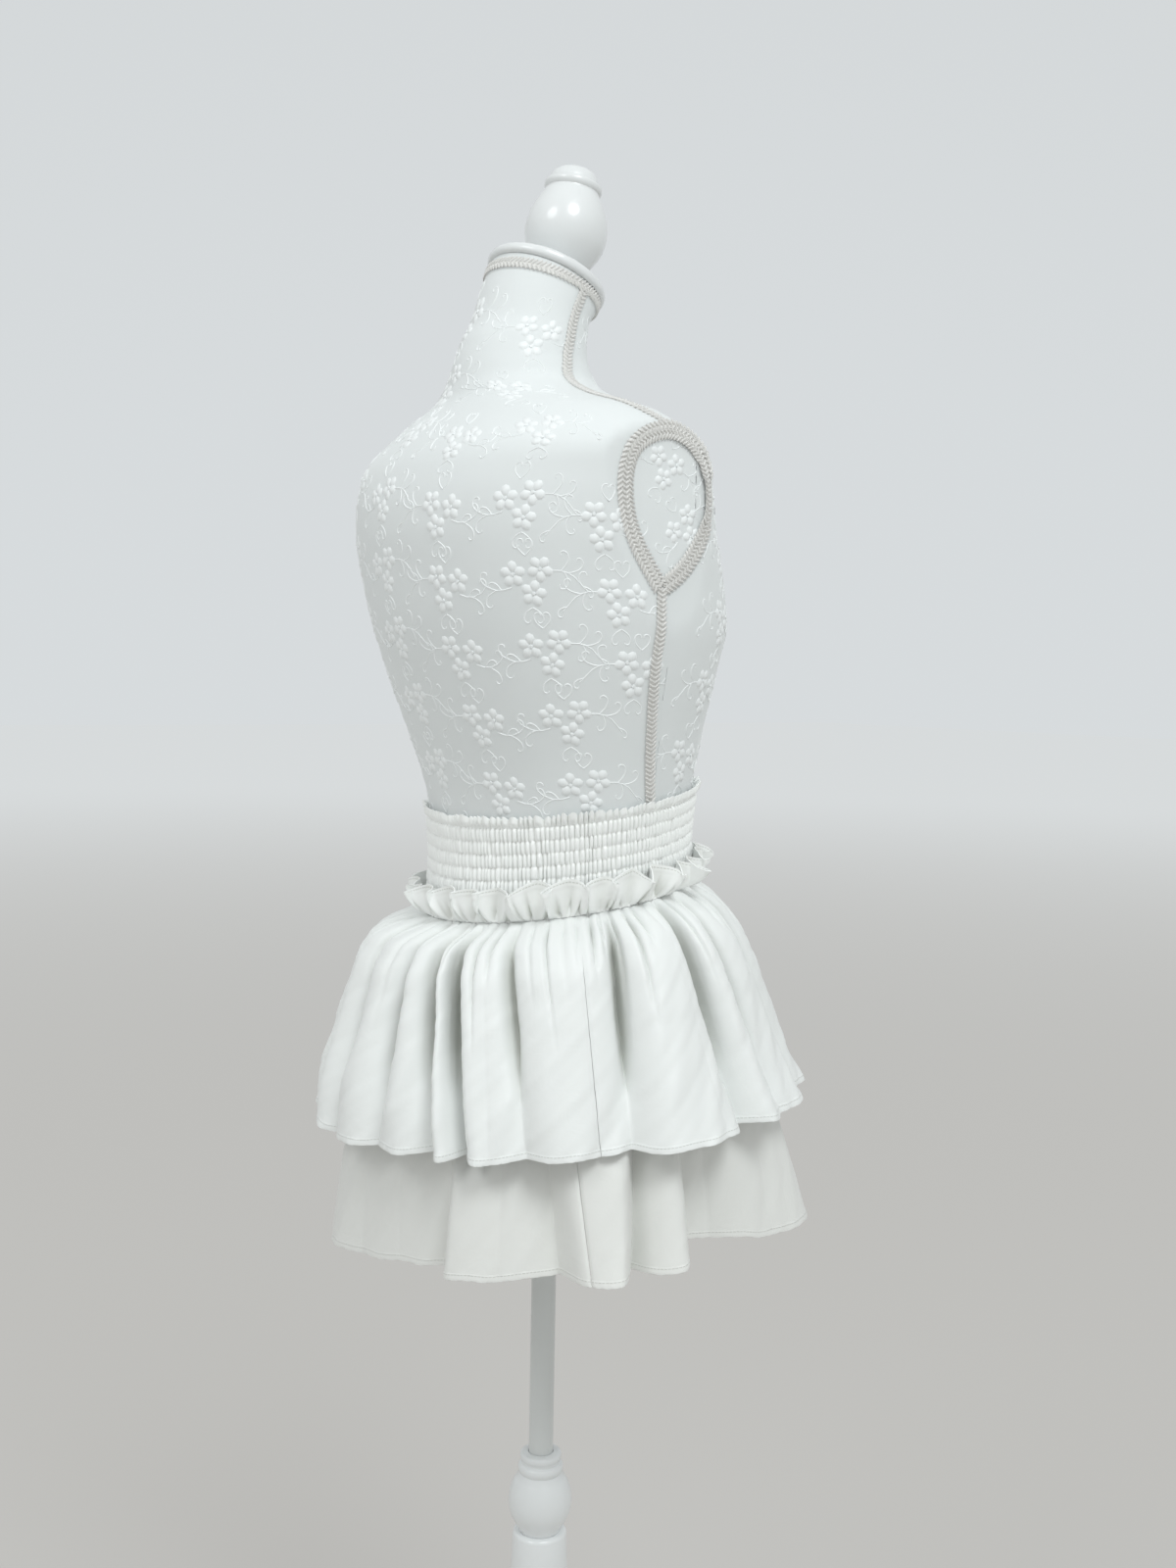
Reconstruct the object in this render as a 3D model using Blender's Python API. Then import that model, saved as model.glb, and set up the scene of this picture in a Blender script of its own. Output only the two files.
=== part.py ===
"""Tiered skort with a shirred waistband, worn on a limbless dress form with a
turned stand.  Metres, +Z up, the front of the garment towards -Y, the wearer's
right towards -X, and the origin on the floor below the stand's pole.

The cloth pieces are thin closed walls.  Their rings are worked out from the
form's sections, two sloping seam planes and the fold tables below.  Angles are
in degrees round the body: 0 is the wearer's left side, 90 the back, 180 the
right side and 270 the front.
"""
import bpy
import bmesh
import math
import numpy as np

# ---------------------------------------------------------------- sizes
GAP = 0.0003              # clearance at every seam and socket
CLOTH = 0.0011            # wall of the tiers and the shorts
BAND_CLOTH = 0.0012       # wall of the waistband between its puffs
EASE = 0.0005             # waistband and shorts stand this far off the form

POLE_R = 0.0100
POLE_BOTTOM, POLE_TOP = 0.300, 0.875
BASE_R, BASE_H = 0.170, 0.022
COLUMN_TOP = 0.4500
BALL_TOP = 0.5160

# Sloping planes round the body: height at the pole, slope along x, slope along y
BAND_TOP = (1.0582, -0.012, -0.165)      # free edge of the waistband's frill
WAIST_SEAM = (0.9782, -0.066, -0.180)    # stitch line of header frill and tiers
UPPER_HEM = (0.8130, -0.075, -0.070)
LOWER_HEM = (0.7130, -0.125, -0.015)

# ---------------------------------------------------------------- dress form
# height, centre y, half width, depth behind, depth in front, squareness (2: ellipse)
FORM_SECTIONS = (
    (0.8250, -0.008, 0.1180, 0.0890, 0.0890, 2.0),
    (0.8275, -0.008, 0.1335, 0.1035, 0.1035, 2.0),
    (0.8420, -0.008, 0.1440, 0.1130, 0.1130, 2.0),
    (0.8700, -0.008, 0.1450, 0.1140, 0.1140, 2.0),
    (0.8950, -0.007, 0.1405, 0.1100, 0.1100, 2.0),
    (0.9200, -0.006, 0.1338, 0.1042, 0.1042, 2.0),
    (0.9450, -0.006, 0.1268, 0.0982, 0.0982, 2.0),
    (0.9700, -0.006, 0.1215, 0.0930, 0.0930, 2.0),
    (0.9900, -0.006, 0.1195, 0.0910, 0.0910, 2.0),
    (1.0100, -0.006, 0.1190, 0.0906, 0.0906, 2.0),
    (1.0300, -0.005, 0.1195, 0.0912, 0.0912, 2.0),
    (1.0550, -0.004, 0.1223, 0.0942, 0.0942, 2.0),
    (1.0800, -0.002, 0.1275, 0.0995, 0.0990, 2.0),
    (1.1200, 0.002, 0.1385, 0.1105, 0.1085, 2.0),
    (1.1600, 0.005, 0.1500, 0.1225, 0.1195, 2.0),
    (1.1900, 0.007, 0.1565, 0.1305, 0.1275, 2.0),
    (1.2250, 0.010, 0.1600, 0.1340, 0.1180, 2.1),
    (1.2600, 0.015, 0.1645, 0.1335, 0.1080, 2.1),
    (1.2900, 0.018, 0.1670, 0.1270, 0.1030, 2.1),
    (1.3150, 0.020, 0.1665, 0.1140, 0.0980, 2.1),
    (1.3330, 0.023, 0.1505, 0.0960, 0.0870, 2.0),
    (1.3460, 0.026, 0.1290, 0.0800, 0.0740, 2.0),
    (1.3570, 0.028, 0.0930, 0.0690, 0.0640, 2.0),
    (1.3700, 0.030, 0.0650, 0.0625, 0.0540, 2.0),
    (1.3860, 0.031, 0.0545, 0.0580, 0.0465, 2.0),
    (1.4050, 0.029, 0.0500, 0.0535, 0.0420, 2.0),
    (1.4230, 0.025, 0.0470, 0.0480, 0.0410, 2.0),
)
ARM_PLATE_X = 0.1555      # the form is cut flat at each armhole
NECK_TILT = math.radians(22.0)
NECK_TOP = (0.0, 0.0150, 1.4535)
NECK_TOP_R = 0.0445
FORM_SIDES = 32

# Turned parts: distance along the axis, radius
CAP_PROFILE = ((0.0, 0.0455), (0.0014, 0.0475), (0.0055, 0.0478),
               (0.0080, 0.0460), (0.0090, 0.0425), (0.0094, 0.0240))
FINIAL_PROFILE = ((0.0000, 0.0170), (0.0030, 0.0208), (0.0070, 0.0200),
                  (0.0152, 0.0262), (0.0246, 0.0310), (0.0352, 0.0324),
                  (0.0470, 0.0306), (0.0588, 0.0255), (0.0670, 0.0212),
                  (0.0690, 0.0225), (0.0735, 0.0225), (0.0750, 0.0196),
                  (0.0800, 0.0180), (0.0845, 0.0125), (0.0865, 0.0045))
FINIAL_TILT = math.radians(10.0)
FINIAL_FORWARD = 0.009    # the finial's foot, forward of the cap's middle
BALL_PROFILE = ((BALL_TOP, 0.0135), (0.5140, 0.0168), (0.5110, 0.0168),
                (0.5075, 0.0160), (0.5052, 0.0184), (0.5010, 0.0184),
                (0.4980, 0.0176), (0.4900, 0.0232), (0.4800, 0.0260),
                (0.4700, 0.0258), (0.4600, 0.0224), (0.4530, 0.0184),
                (COLUMN_TOP + GAP, 0.0172))
COLUMN_PROFILE = ((COLUMN_TOP, 0.0205), (0.4475, 0.0222), (0.3000, 0.0290),
                  (0.0900, 0.0385), (0.0720, 0.0400), (0.0660, 0.0460),
                  (0.0550, 0.0472), (0.0480, 0.0435), (0.0390, 0.0490),
                  (0.0290, 0.0560), (BASE_H + GAP, 0.0580))
BASE_PROFILE = ((BASE_H, 0.1540), (0.0195, 0.1640), (0.0140, BASE_R),
                (0.0050, BASE_R), (0.0, 0.1650))

# ---------------------------------------------------------------- waistband
PUFFS = 54                # shirred pleats that stand out round the band
PUFF_HIGH = 0.0016
# depth below the free edge, puff share on crests, puff share in the troughs
BAND_ROWS = (
    (0.0000, 1.15, 0.00),
    (0.0045, 0.90, 0.10),
    (0.0085, 0.20, 0.00),
    (0.0135, 1.00, 0.20),
    (0.0185, 0.20, 0.00),
    (0.0235, 1.00, 0.20),
    (0.0285, 0.20, 0.00),
    (0.0335, 1.00, 0.20),
    (0.0385, 0.20, 0.00),
    (0.0435, 1.00, 0.20),
    (0.0485, 0.20, 0.00),
    (0.0535, 1.00, 0.20),
    (0.0585, 0.20, 0.00),
)
BAND_PLAIN = 0.0100       # plain strip above the seam, under the header frill
BAND_LAP = 0.0060         # the band reaches this far below the seam line

# ---------------------------------------------------------------- header frill
HEADER_WAVES = 28
HEADER_HIGH = 0.0250
HEADER_VALLEY, HEADER_RIDGE = 0.0030, 0.0170

# ---------------------------------------------------------------- tiers
# share of the tier's depth, flare at the back, flare at the front, fold share
UPPER_FLARE = (
    (0.00, 0.0000, 0.0000, 0.00),
    (0.07, 0.0310, 0.0165, 0.30),
    (0.17, 0.0460, 0.0300, 0.46),
    (0.34, 0.0560, 0.0430, 0.58),
    (0.56, 0.0680, 0.0540, 0.68),
    (0.79, 0.0800, 0.0650, 0.86),
    (1.00, 0.0850, 0.0800, 1.00),
)
LOWER_FLARE = (
    (0.00, 0.0000, 0.0000, 0.00),
    (0.04, 0.0055, 0.0050, 0.05),
    (0.14, 0.0205, 0.0190, 0.12),
    (0.34, 0.0390, 0.0370, 0.25),
    (0.56, 0.0540, 0.0520, 0.45),
    (0.78, 0.0640, 0.0660, 0.75),
    (1.00, 0.0690, 0.0780, 1.00),
)
FLARE_BACK_AT = 60.0      # the angle where the back flare is used alone
HEM_SHIFT = -0.009        # the hems sit this far forward of the waist

FOLD_POWER = 0.64         # under 1: broad ridges and narrow valleys
# Folds, in order round the tier, ridge and valley by turns:
# angle at the seam, angle at the hem, push out halfway down, push out at the hem,
# and, where it isn't none, how far the hem is lifted there
UPPER_FOLDS = (
    (48.0, 52.0, -0.006, -0.011, 0.010),
    (54.0, 60.0, 0.006, 0.009, 0.009),
    (58.5, 66.0, -0.008, -0.012, 0.007),
    (64.5, 71.0, 0.009, 0.013, 0.004),
    (73.0, 78.0, -0.006, 0.002),
    (82.0, 86.5, 0.008, 0.010),
    (91.0, 94.5, -0.014, -0.004),
    (96.0, 102.0, 0.008, 0.006),
    (100.5, 110.5, -0.012, -0.013),
    (104.0, 115.0, 0.007, 0.011),
    (107.5, 118.5, -0.016, -0.016),
    (112.0, 122.5, 0.008, 0.011),
    (118.0, 126.0, 0.004, 0.006),
    (123.0, 133.0, -0.005, -0.004),
    (132.0, 141.0, 0.005, 0.009),
    (146.0, 149.0, 0.002, 0.000),
    (157.0, 156.5, -0.012, -0.009),
    (165.0, 166.0, 0.008, 0.014),
    (175.0, 178.0, 0.005, 0.009),
    (181.5, 187.5, -0.013, -0.013),
    (188.0, 194.0, 0.007, 0.010),
    (195.0, 201.0, -0.003, 0.002),
    (204.0, 212.0, 0.006, 0.008),
    (212.0, 221.0, -0.004, -0.006),
    (221.0, 231.0, 0.006, 0.010),
    (230.0, 240.0, -0.007, -0.010),
    (239.0, 248.0, 0.006, 0.010),
    (248.0, 256.0, -0.004, -0.006),
    (257.0, 264.0, 0.006, 0.011),
    (266.0, 272.0, -0.008, -0.012),
    (275.0, 280.0, 0.006, 0.009),
    (284.0, 289.0, -0.005, -0.006),
    (293.0, 297.0, 0.006, 0.012),
    (302.0, 306.0, -0.007, -0.011),
    (311.0, 315.0, 0.005, 0.008),
    (323.0, 326.0, 0.001, 0.000),
    (331.0, 334.0, -0.006, -0.009),
    (341.0, 344.0, 0.006, 0.011),
    (351.0, 354.0, -0.007, -0.010),
    (360.0, 364.0, 0.006, 0.010),
    (369.0, 374.0, -0.005, -0.007),
    (378.0, 384.0, 0.006, 0.011),
    (388.0, 393.0, -0.007, -0.010),
    (399.0, 402.5, 0.005, 0.008),
)
LOWER_FOLDS = (
    (56.0, 58.0, -0.004, -0.013),
    (66.0, 70.0, 0.004, 0.013),
    (80.0, 84.0, 0.001, 0.003),
    (95.0, 97.0, -0.002, -0.004),
    (112.0, 110.5, -0.005, -0.015),
    (119.0, 116.5, 0.005, 0.014),
    (126.0, 127.0, 0.002, 0.006),
    (131.0, 140.0, -0.005, -0.011),
    (138.0, 147.2, 0.007, 0.019, -0.002),
    (158.0, 152.8, 0.008, 0.024, -0.002),
    (164.5, 157.6, -0.006, -0.012),
    (170.5, 167.3, 0.004, 0.014),
    (176.0, 173.6, -0.009, -0.026, 0.010),
    (185.0, 183.0, -0.008, -0.023, 0.009),
    (201.0, 201.0, 0.001, 0.001, 0.002),
    (216.0, 219.0, 0.005, 0.014),
    (232.0, 234.0, -0.004, -0.012),
    (248.0, 249.0, 0.004, 0.012),
    (264.0, 263.0, -0.004, -0.010),
    (280.0, 279.0, 0.004, 0.013),
    (294.0, 293.0, -0.004, -0.013),
    (308.0, 307.0, 0.004, 0.011),
    (323.0, 323.0, 0.000, 0.000),
    (336.0, 336.0, -0.004, -0.012),
    (351.0, 351.0, 0.004, 0.013),
    (367.0, 366.0, -0.004, -0.012),
    (382.0, 384.0, 0.004, 0.012),
    (400.0, 401.0, -0.002, -0.006),
)
UPPER_SEAMS = (15, 35)    # the folds that carry the side seams
LOWER_SEAMS = (8, 22)
UPPER_STEPS, LOWER_STEPS = 3, 3

# ---------------------------------------------------------------- shorts
SHORTS_FORK_X = 0.026     # the crotch hangs to the wearer's left of the pole
LEG_CENTRE_Y, LEG_DEPTH = -0.008, 0.1040
SHORTS_HEM_Z = 0.7380
SHORTS_FORK_Z = 0.7780
SHORTS_COLUMNS = 8

# share of the way from the waist to the fork (past 1, on to the hem),
# how far the row has turned from the body's round to the leg's, slack
SHORTS_ROWS = (
    (0.00, 0.00, 0.0003),
    (0.10, 0.00, 0.0020),
    (0.25, 0.00, 0.0038),
    (0.45, 0.00, 0.0048),
    (0.72, 0.00, 0.0040),
    (0.84, 0.15, 0.0040),
    (0.94, 0.60, 0.0040),
    (1.00, 1.00, 0.0040),
    (2.00, 1.00, 0.0040),
)

COLOURS = {
    "cloth": (0.86, 0.875, 0.86, 1.0),
    "cover": (0.74, 0.77, 0.78, 1.0),
    "gloss": (0.84, 0.86, 0.86, 1.0),
    "steel": (0.70, 0.72, 0.72, 1.0),
}


# ---------------------------------------------------------------- helpers
def material(name, colour, rough, metal=0.0):
    mat = bpy.data.materials.new(name)
    mat.use_nodes = True
    bsdf = mat.node_tree.nodes["Principled BSDF"]
    bsdf.inputs["Base Color"].default_value = colour
    bsdf.inputs["Roughness"].default_value = rough
    bsdf.inputs["Metallic"].default_value = metal
    mat.diffuse_color = colour
    return mat


def link(name, bm, mat, sharp=None):
    bmesh.ops.recalc_face_normals(bm, faces=bm.faces)
    mesh = bpy.data.meshes.new(name)
    bm.to_mesh(mesh)
    bm.free()
    mesh.shade_smooth()
    if sharp:
        mesh.set_sharp_from_angle(angle=math.radians(sharp))
    mesh.materials.append(mat)
    obj = bpy.data.objects.new(name, mesh)
    bpy.context.scene.collection.objects.link(obj)
    return obj


def smooth_table(table, x, column):
    """Cubic reading of one column of a table against its first column."""
    rows = np.array(table, float)
    xs, ys = rows[:, 0], rows[:, column]
    slopes = np.gradient(ys, xs)
    x = np.clip(np.asarray(x, float), xs[0], xs[-1])
    i = np.clip(np.searchsorted(xs, x) - 1, 0, len(xs) - 2)
    h = xs[i + 1] - xs[i]
    t = (x - xs[i]) / h
    return ((2 * t**3 - 3 * t**2 + 1) * ys[i] + (t**3 - 2 * t**2 + t) * h * slopes[i]
            + (3 * t**2 - 2 * t**3) * ys[i + 1] + (t**3 - t**2) * h * slopes[i + 1])


def plane_z(plane, x, y):
    return plane[0] + plane[1] * x + plane[2] * y


def form_point(angle, z, out=0.0):
    """A point of the form's skin below the bust, moved out by a distance."""
    a = np.radians(angle)
    yc = smooth_table(FORM_SECTIONS, z, 1)
    half_w = smooth_table(FORM_SECTIONS, z, 2) + out
    half_d = smooth_table(FORM_SECTIONS, z, 3) + out
    return half_w * np.cos(a), yc + half_d * np.sin(a)


def height_on(plane, angle, start, out=0.0):
    """The height where the form's skin meets a sloping plane."""
    z = np.full(np.shape(angle), start, float)
    for _ in range(8):
        x, y = form_point(angle, z, out)
        z = plane_z(plane, x, y)
    return z


def fold_reader(folds, s):
    """Angle at seam, angle at hem, push halfway, push at the hem and lift, at
    places along the ring counted in folds. Ridges are broad, valleys narrow."""
    rows = np.array([tuple(row) + (0.0,) * (5 - len(row)) for row in folds])
    n = len(rows)
    turn = np.array((360.0, 360.0, 0.0, 0.0, 0.0))
    i = np.floor(s).astype(int)
    t = (s - i)[:, None]

    def row(k):
        return rows[k % n] + np.outer(k // n, turn)

    p0, p1, p2, p3 = row(i - 1), row(i), row(i + 1), row(i + 2)
    m1, m2 = (p2 - p0) / 2, (p3 - p1) / 2
    m1[:, 2:] *= 0.35
    m2[:, 2:] *= 0.35
    rising = p2[:, 3:4] > p1[:, 3:4]
    swept = np.where(rising, t ** FOLD_POWER, 1 - (1 - t) ** FOLD_POWER)
    t = np.repeat(t, 5, axis=1)
    t[:, 2:4] = swept
    return ((2 * t**3 - 3 * t**2 + 1) * p1 + (t**3 - 2 * t**2 + t) * m1
            + (3 * t**2 - 2 * t**3) * p2 + (t**3 - t**2) * m2)


def tier_surface(s, depths, folds, flare, hem, start_out, drop=0.0):
    """Grid of points, depth by place: the outer face of a gathered tier, whose
    top edge hangs a drop below the seam line."""
    table = fold_reader(folds, s)
    grid = []
    for t in depths:
        turn = t ** 0.8
        angle = table[:, 0] * (1 - turn) + table[:, 1] * turn
        a = np.radians(angle)
        seam_z = height_on(WAIST_SEAM, angle, 0.975)
        x0, y0 = form_point(angle, seam_z - drop, start_out)
        back = 0.5 + 0.5 * np.cos(a - math.radians(FLARE_BACK_AT))
        out = (smooth_table(flare, t, 1) * back
               + smooth_table(flare, t, 2) * (1 - back))
        share = float(smooth_table(flare, t, 3))
        low = float(np.clip((t - 0.45) / 0.55, 0.0, 1.0))
        deep = table[:, 2] * (1 - low) + table[:, 3] * low
        out = out + deep * (1.0 if t >= 0.45 else share / 0.6)
        x = x0 + out * np.cos(a)
        y = y0 + out * np.sin(a) + HEM_SHIFT * t
        hem_z = plane_z(hem, x, y)
        z = seam_z + (hem_z - seam_z) * t - drop * (1 - t) + table[:, 4] * t
        grid.append(np.stack((x, y, z), 1))
    return np.array(grid)


def normals_of(grid, closed):
    along = (np.roll(grid, -1, 1) - np.roll(grid, 1, 1)) if closed else np.gradient(grid, axis=1)
    down = np.gradient(grid, axis=0)
    n = np.cross(down, along)
    n /= np.linalg.norm(n, axis=2)[:, :, None]
    return n


def wall(name, outer, inner, mat, closed):
    """A closed wall between two grids with the same places along the ring.
    The inner grid may have fewer rows."""
    bm = bmesh.new()
    rows_o = [[bm.verts.new(p) for p in ring] for ring in outer]
    rows_i = [[bm.verts.new(p) for p in ring] for ring in inner]
    count = len(rows_o[0])
    stop = count if closed else count - 1
    loop = rows_o + rows_i[::-1]
    for k in range(len(loop)):
        a, b = loop[k], loop[(k + 1) % len(loop)]
        inside = k >= len(rows_o)
        for j in range(stop):
            j2 = (j + 1) % count
            # both faces of the wall are split along the same diagonal
            if inside:
                bm.faces.new((a[j], a[j2], b[j]))
                bm.faces.new((b[j], a[j2], b[j2]))
            else:
                bm.faces.new((a[j], a[j2], b[j2]))
                bm.faces.new((a[j], b[j2], b[j]))
    if not closed:
        for j in (0, count - 1):
            edge_o = [r[j] for r in rows_o]
            edge_i = [r[j] for r in rows_i]
            if len(edge_o) == len(edge_i):
                for k in range(len(edge_o) - 1):
                    bm.faces.new((edge_o[k], edge_o[k + 1], edge_i[k + 1], edge_i[k]))
            else:
                bm.faces.new(edge_o + edge_i[::-1])
    return link(name, bm, mat, 50)


def turned(name, profile, mat, centre=(0, 0, 0), tilt=0.0, bore=None, sides=32):
    """A turned part: rings along an axis that leans forward by tilt.
    bore gives radius and the two depths between which a round hole runs."""
    bm = bmesh.new()
    c, s = math.cos(tilt), math.sin(tilt)

    def ring(r, h):
        out = []
        for k in range(sides):
            a = 2 * math.pi * k / sides
            x, y = r * math.cos(a), r * math.sin(a)
            out.append(bm.verts.new((centre[0] + x, centre[1] + y * c - h * s,
                                     centre[2] + y * s + h * c)))
        return out

    rings = [ring(r, h) for h, r in profile]
    if bore:
        radius, start, end = bore
        holes = [ring(radius, start), ring(radius, end)]
    for a, b in zip(rings, rings[1:]):
        for k in range(sides):
            bm.faces.new((a[k], a[(k + 1) % sides], b[(k + 1) % sides], b[k]))
    if not bore:
        bm.faces.new(rings[0])
        bm.faces.new(rings[-1])
    else:
        top, deep = holes
        first, last = rings[0], rings[-1]
        for a, b in ((top, first), (deep, top)):
            for k in range(sides):
                bm.faces.new((a[k], a[(k + 1) % sides], b[(k + 1) % sides], b[k]))
        if abs(bore[2] - profile[-1][0]) < 1e-9:
            for k in range(sides):
                bm.faces.new((last[k], last[(k + 1) % sides], deep[(k + 1) % sides], deep[k]))
        else:
            bm.faces.new(deep)
            bm.faces.new(last)
    return link(name, bm, mat, 38)


# ---------------------------------------------------------------- scene start
for old in list(bpy.data.objects):
    bpy.data.objects.remove(old, do_unlink=True)

CLOTH_MAT = material("ivory_satin", COLOURS["cloth"], 0.55)
COVER_MAT = material("form_cover", COLOURS["cover"], 0.75)
GLOSS_MAT = material("white_gloss", COLOURS["gloss"], 0.22)
STEEL_MAT = material("white_steel", COLOURS["steel"], 0.30)


# ---------------------------------------------------------------- dress form
def form_ring(z, yc, half_w, behind, front, square):
    """One level section of the form, cut flat where an armhole plate lies."""
    a = np.radians(np.arange(FORM_SIDES) * 360.0 / FORM_SIDES)
    c, s = np.cos(a), np.sin(a)
    x = half_w * np.sign(c) * np.abs(c) ** (2 / square)
    y = yc + np.where(s > 0, behind, front) * np.sign(s) * np.abs(s) ** (2 / square)
    if z > 1.15:
        x = np.clip(x, -ARM_PLATE_X, ARM_PLATE_X)
    return np.stack((x, y, np.full(len(a), z)), 1)


def neck_ring(share):
    """The neck bends forward to the plane of its cap."""
    low = FORM_SECTIONS[-1]
    a = np.radians(np.arange(FORM_SIDES) * 360.0 / FORM_SIDES)
    tilt = NECK_TILT * share
    r_w = low[2] * (1 - share) + NECK_TOP_R * share
    r_back = low[3] * (1 - share) + NECK_TOP_R * share
    r_front = low[4] * (1 - share) + NECK_TOP_R * share
    cy = low[1] * (1 - share) + NECK_TOP[1] * share
    cz = low[0] * (1 - share) + NECK_TOP[2] * share
    x, y = r_w * np.cos(a), np.where(np.sin(a) > 0, r_back, r_front) * np.sin(a)
    return np.stack((x, cy + y * math.cos(tilt), cz + y * math.sin(tilt)), 1)


form_rings = [form_ring(*row) for row in FORM_SECTIONS]
form_rings += [neck_ring(0.5), neck_ring(1.0)]
bm = bmesh.new()
rings = [[bm.verts.new(p) for p in ring] for ring in form_rings]
socket = []
for height in (POLE_TOP + GAP, FORM_SECTIONS[0][0]):
    ring = []
    for k in range(FORM_SIDES):
        a = 2 * math.pi * k / FORM_SIDES
        r = POLE_R + GAP
        ring.append(bm.verts.new((r * math.cos(a), r * math.sin(a), height)))
    socket.append(ring)
rings = socket + rings
for low, high in zip(rings, rings[1:]):
    for k in range(FORM_SIDES):
        k2 = (k + 1) % FORM_SIDES
        bm.faces.new((low[k], low[k2], high[k2], high[k]))
bm.faces.new(rings[0])
bm.faces.new(rings[-1])
link("form_torso", bm, COVER_MAT, 50)

cap_up = (0.0, -math.sin(NECK_TILT), math.cos(NECK_TILT))
cap_foot = tuple(p + d * GAP for p, d in zip(NECK_TOP, cap_up))
turned("neck_cap", CAP_PROFILE, GLOSS_MAT, cap_foot, NECK_TILT, sides=32)

# The finial leans a little less than the cap, so its foot is lifted clear of
# the cap's face by the difference over its own radius.
lift = CAP_PROFILE[-1][0] + GAP + FINIAL_PROFILE[0][1] * math.sin(NECK_TILT - FINIAL_TILT)
finial_foot = (0.0,
               cap_foot[1] + cap_up[1] * lift - FINIAL_FORWARD * math.cos(NECK_TILT),
               cap_foot[2] + cap_up[2] * lift - FINIAL_FORWARD * math.sin(NECK_TILT))
turned("finial", FINIAL_PROFILE, GLOSS_MAT, finial_foot, FINIAL_TILT, sides=20)

# ---------------------------------------------------------------- stand
turned("stand_base", BASE_PROFILE, GLOSS_MAT, sides=32)
turned("stand_column", COLUMN_PROFILE, GLOSS_MAT,
       bore=(POLE_R + GAP, COLUMN_TOP, POLE_BOTTOM - GAP), sides=20)
turned("stand_ball", BALL_PROFILE, GLOSS_MAT,
       bore=(POLE_R + GAP, BALL_TOP, COLUMN_TOP + GAP), sides=20)
turned("pole", ((POLE_TOP, POLE_R), (POLE_BOTTOM, POLE_R)), STEEL_MAT, sides=24)

# ---------------------------------------------------------------- waistband
columns = PUFFS * 2
angles = np.arange(columns) * 360.0 / columns
crest = (np.arange(columns) % 2 == 0)
top_z = height_on(BAND_TOP, angles, 1.05)
seam_z = height_on(WAIST_SEAM, angles, 0.975)
outer, inner = [], []
band_rows = list(BAND_ROWS)
for depth, high, low in band_rows:
    z = top_z - depth * (top_z - seam_z) / 0.0800
    puff = PUFF_HIGH * np.where(crest, high, low)
    if depth == 0.0:
        z = z - np.where(crest, 0.0, 0.0016)
    x, y = form_point(angles, z, EASE + BAND_CLOTH)
    a = np.radians(angles)
    outer.append(np.stack((x + puff * np.cos(a), y + puff * np.sin(a), z), 1))
for z in (seam_z + BAND_PLAIN, seam_z - BAND_LAP):
    x, y = form_point(angles, z, EASE + BAND_CLOTH)
    outer.append(np.stack((x, y, z), 1))
for share in (0.0, 0.25, 0.5, 0.75, 1.0):
    z = outer[0][:, 2] * (1 - share) + outer[-1][:, 2] * share
    x, y = form_point(angles, z, EASE)
    inner.append(np.stack((x, y, z), 1))
wall("waistband", outer, inner, CLOTH_MAT, True)

# ---------------------------------------------------------------- header frill
STACK_OUT = EASE + BAND_CLOTH + GAP     # first face outside the band
columns = HEADER_WAVES * 4
angles = np.arange(columns) * 360.0 / columns
wave = np.array((0.0, 0.75, 1.0, 0.75))[np.arange(columns) % 4]
uneven = np.sin(np.radians(angles * 5 + 40)) * np.sin(np.radians(angles * 3))
slump = 0.5 - 0.5 * np.cos(np.radians(2 * (angles - 145.0)))   # leans out at the sides
seam_z = height_on(WAIST_SEAM, angles, 0.975)
x, y = form_point(angles, seam_z, STACK_OUT + CLOTH)
a = np.radians(angles)
rows = []
for share, flare in ((0.0, 0.0), (0.30, 0.58), (1.0, 1.0)):
    z = seam_z + GAP / 2 + HEADER_HIGH * share * (1.0 - 0.10 * uneven - 0.22 * slump)
    reach = (HEADER_VALLEY + (HEADER_RIDGE - HEADER_VALLEY) * wave
             * (0.90 + 0.20 * uneven)) * flare * (1.0 + 0.40 * slump)
    rows.append(np.stack((x + reach * np.cos(a), y + reach * np.sin(a), z), 1))
outer = np.array(rows[::-1])
n = normals_of(outer, True)
n[-1, :, 2] = 0.0
n[-1] /= np.linalg.norm(n[-1], axis=1)[:, None]
wall("header_frill", outer, outer - n * CLOTH, CLOTH_MAT, True)


# ---------------------------------------------------------------- upper tier
def tier_panels(names, folds, seams, steps, depths, flare, hem, start_out, drop, shape=None):
    count = len(folds)
    slack = 0.014
    spans = ((seams[1] - count, seams[0]), (seams[0], seams[1]))
    for name, (first, last) in zip(names, spans):
        places = np.linspace(first + slack, last - slack, (last - first) * steps + 1)
        grid = tier_surface(places, depths, folds, flare, hem, start_out + CLOTH, drop)
        if shape is not None:
            grid = shape(grid)
        n = normals_of(grid, False)
        level = n[0].copy()
        level[:, 2] = 0
        n[0] = level / np.linalg.norm(level, axis=1)[:, None]
        wall(name, grid, grid - n * CLOTH, CLOTH_MAT, False)


UPPER_DEPTHS = (0.0, 0.06, 0.16, 0.34, 0.57, 0.80, 1.0)
tier_panels(("upper_tier_back", "upper_tier_front"), UPPER_FOLDS, UPPER_SEAMS,
            UPPER_STEPS, UPPER_DEPTHS, UPPER_FLARE, UPPER_HEM, STACK_OUT, GAP / 2)

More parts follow.
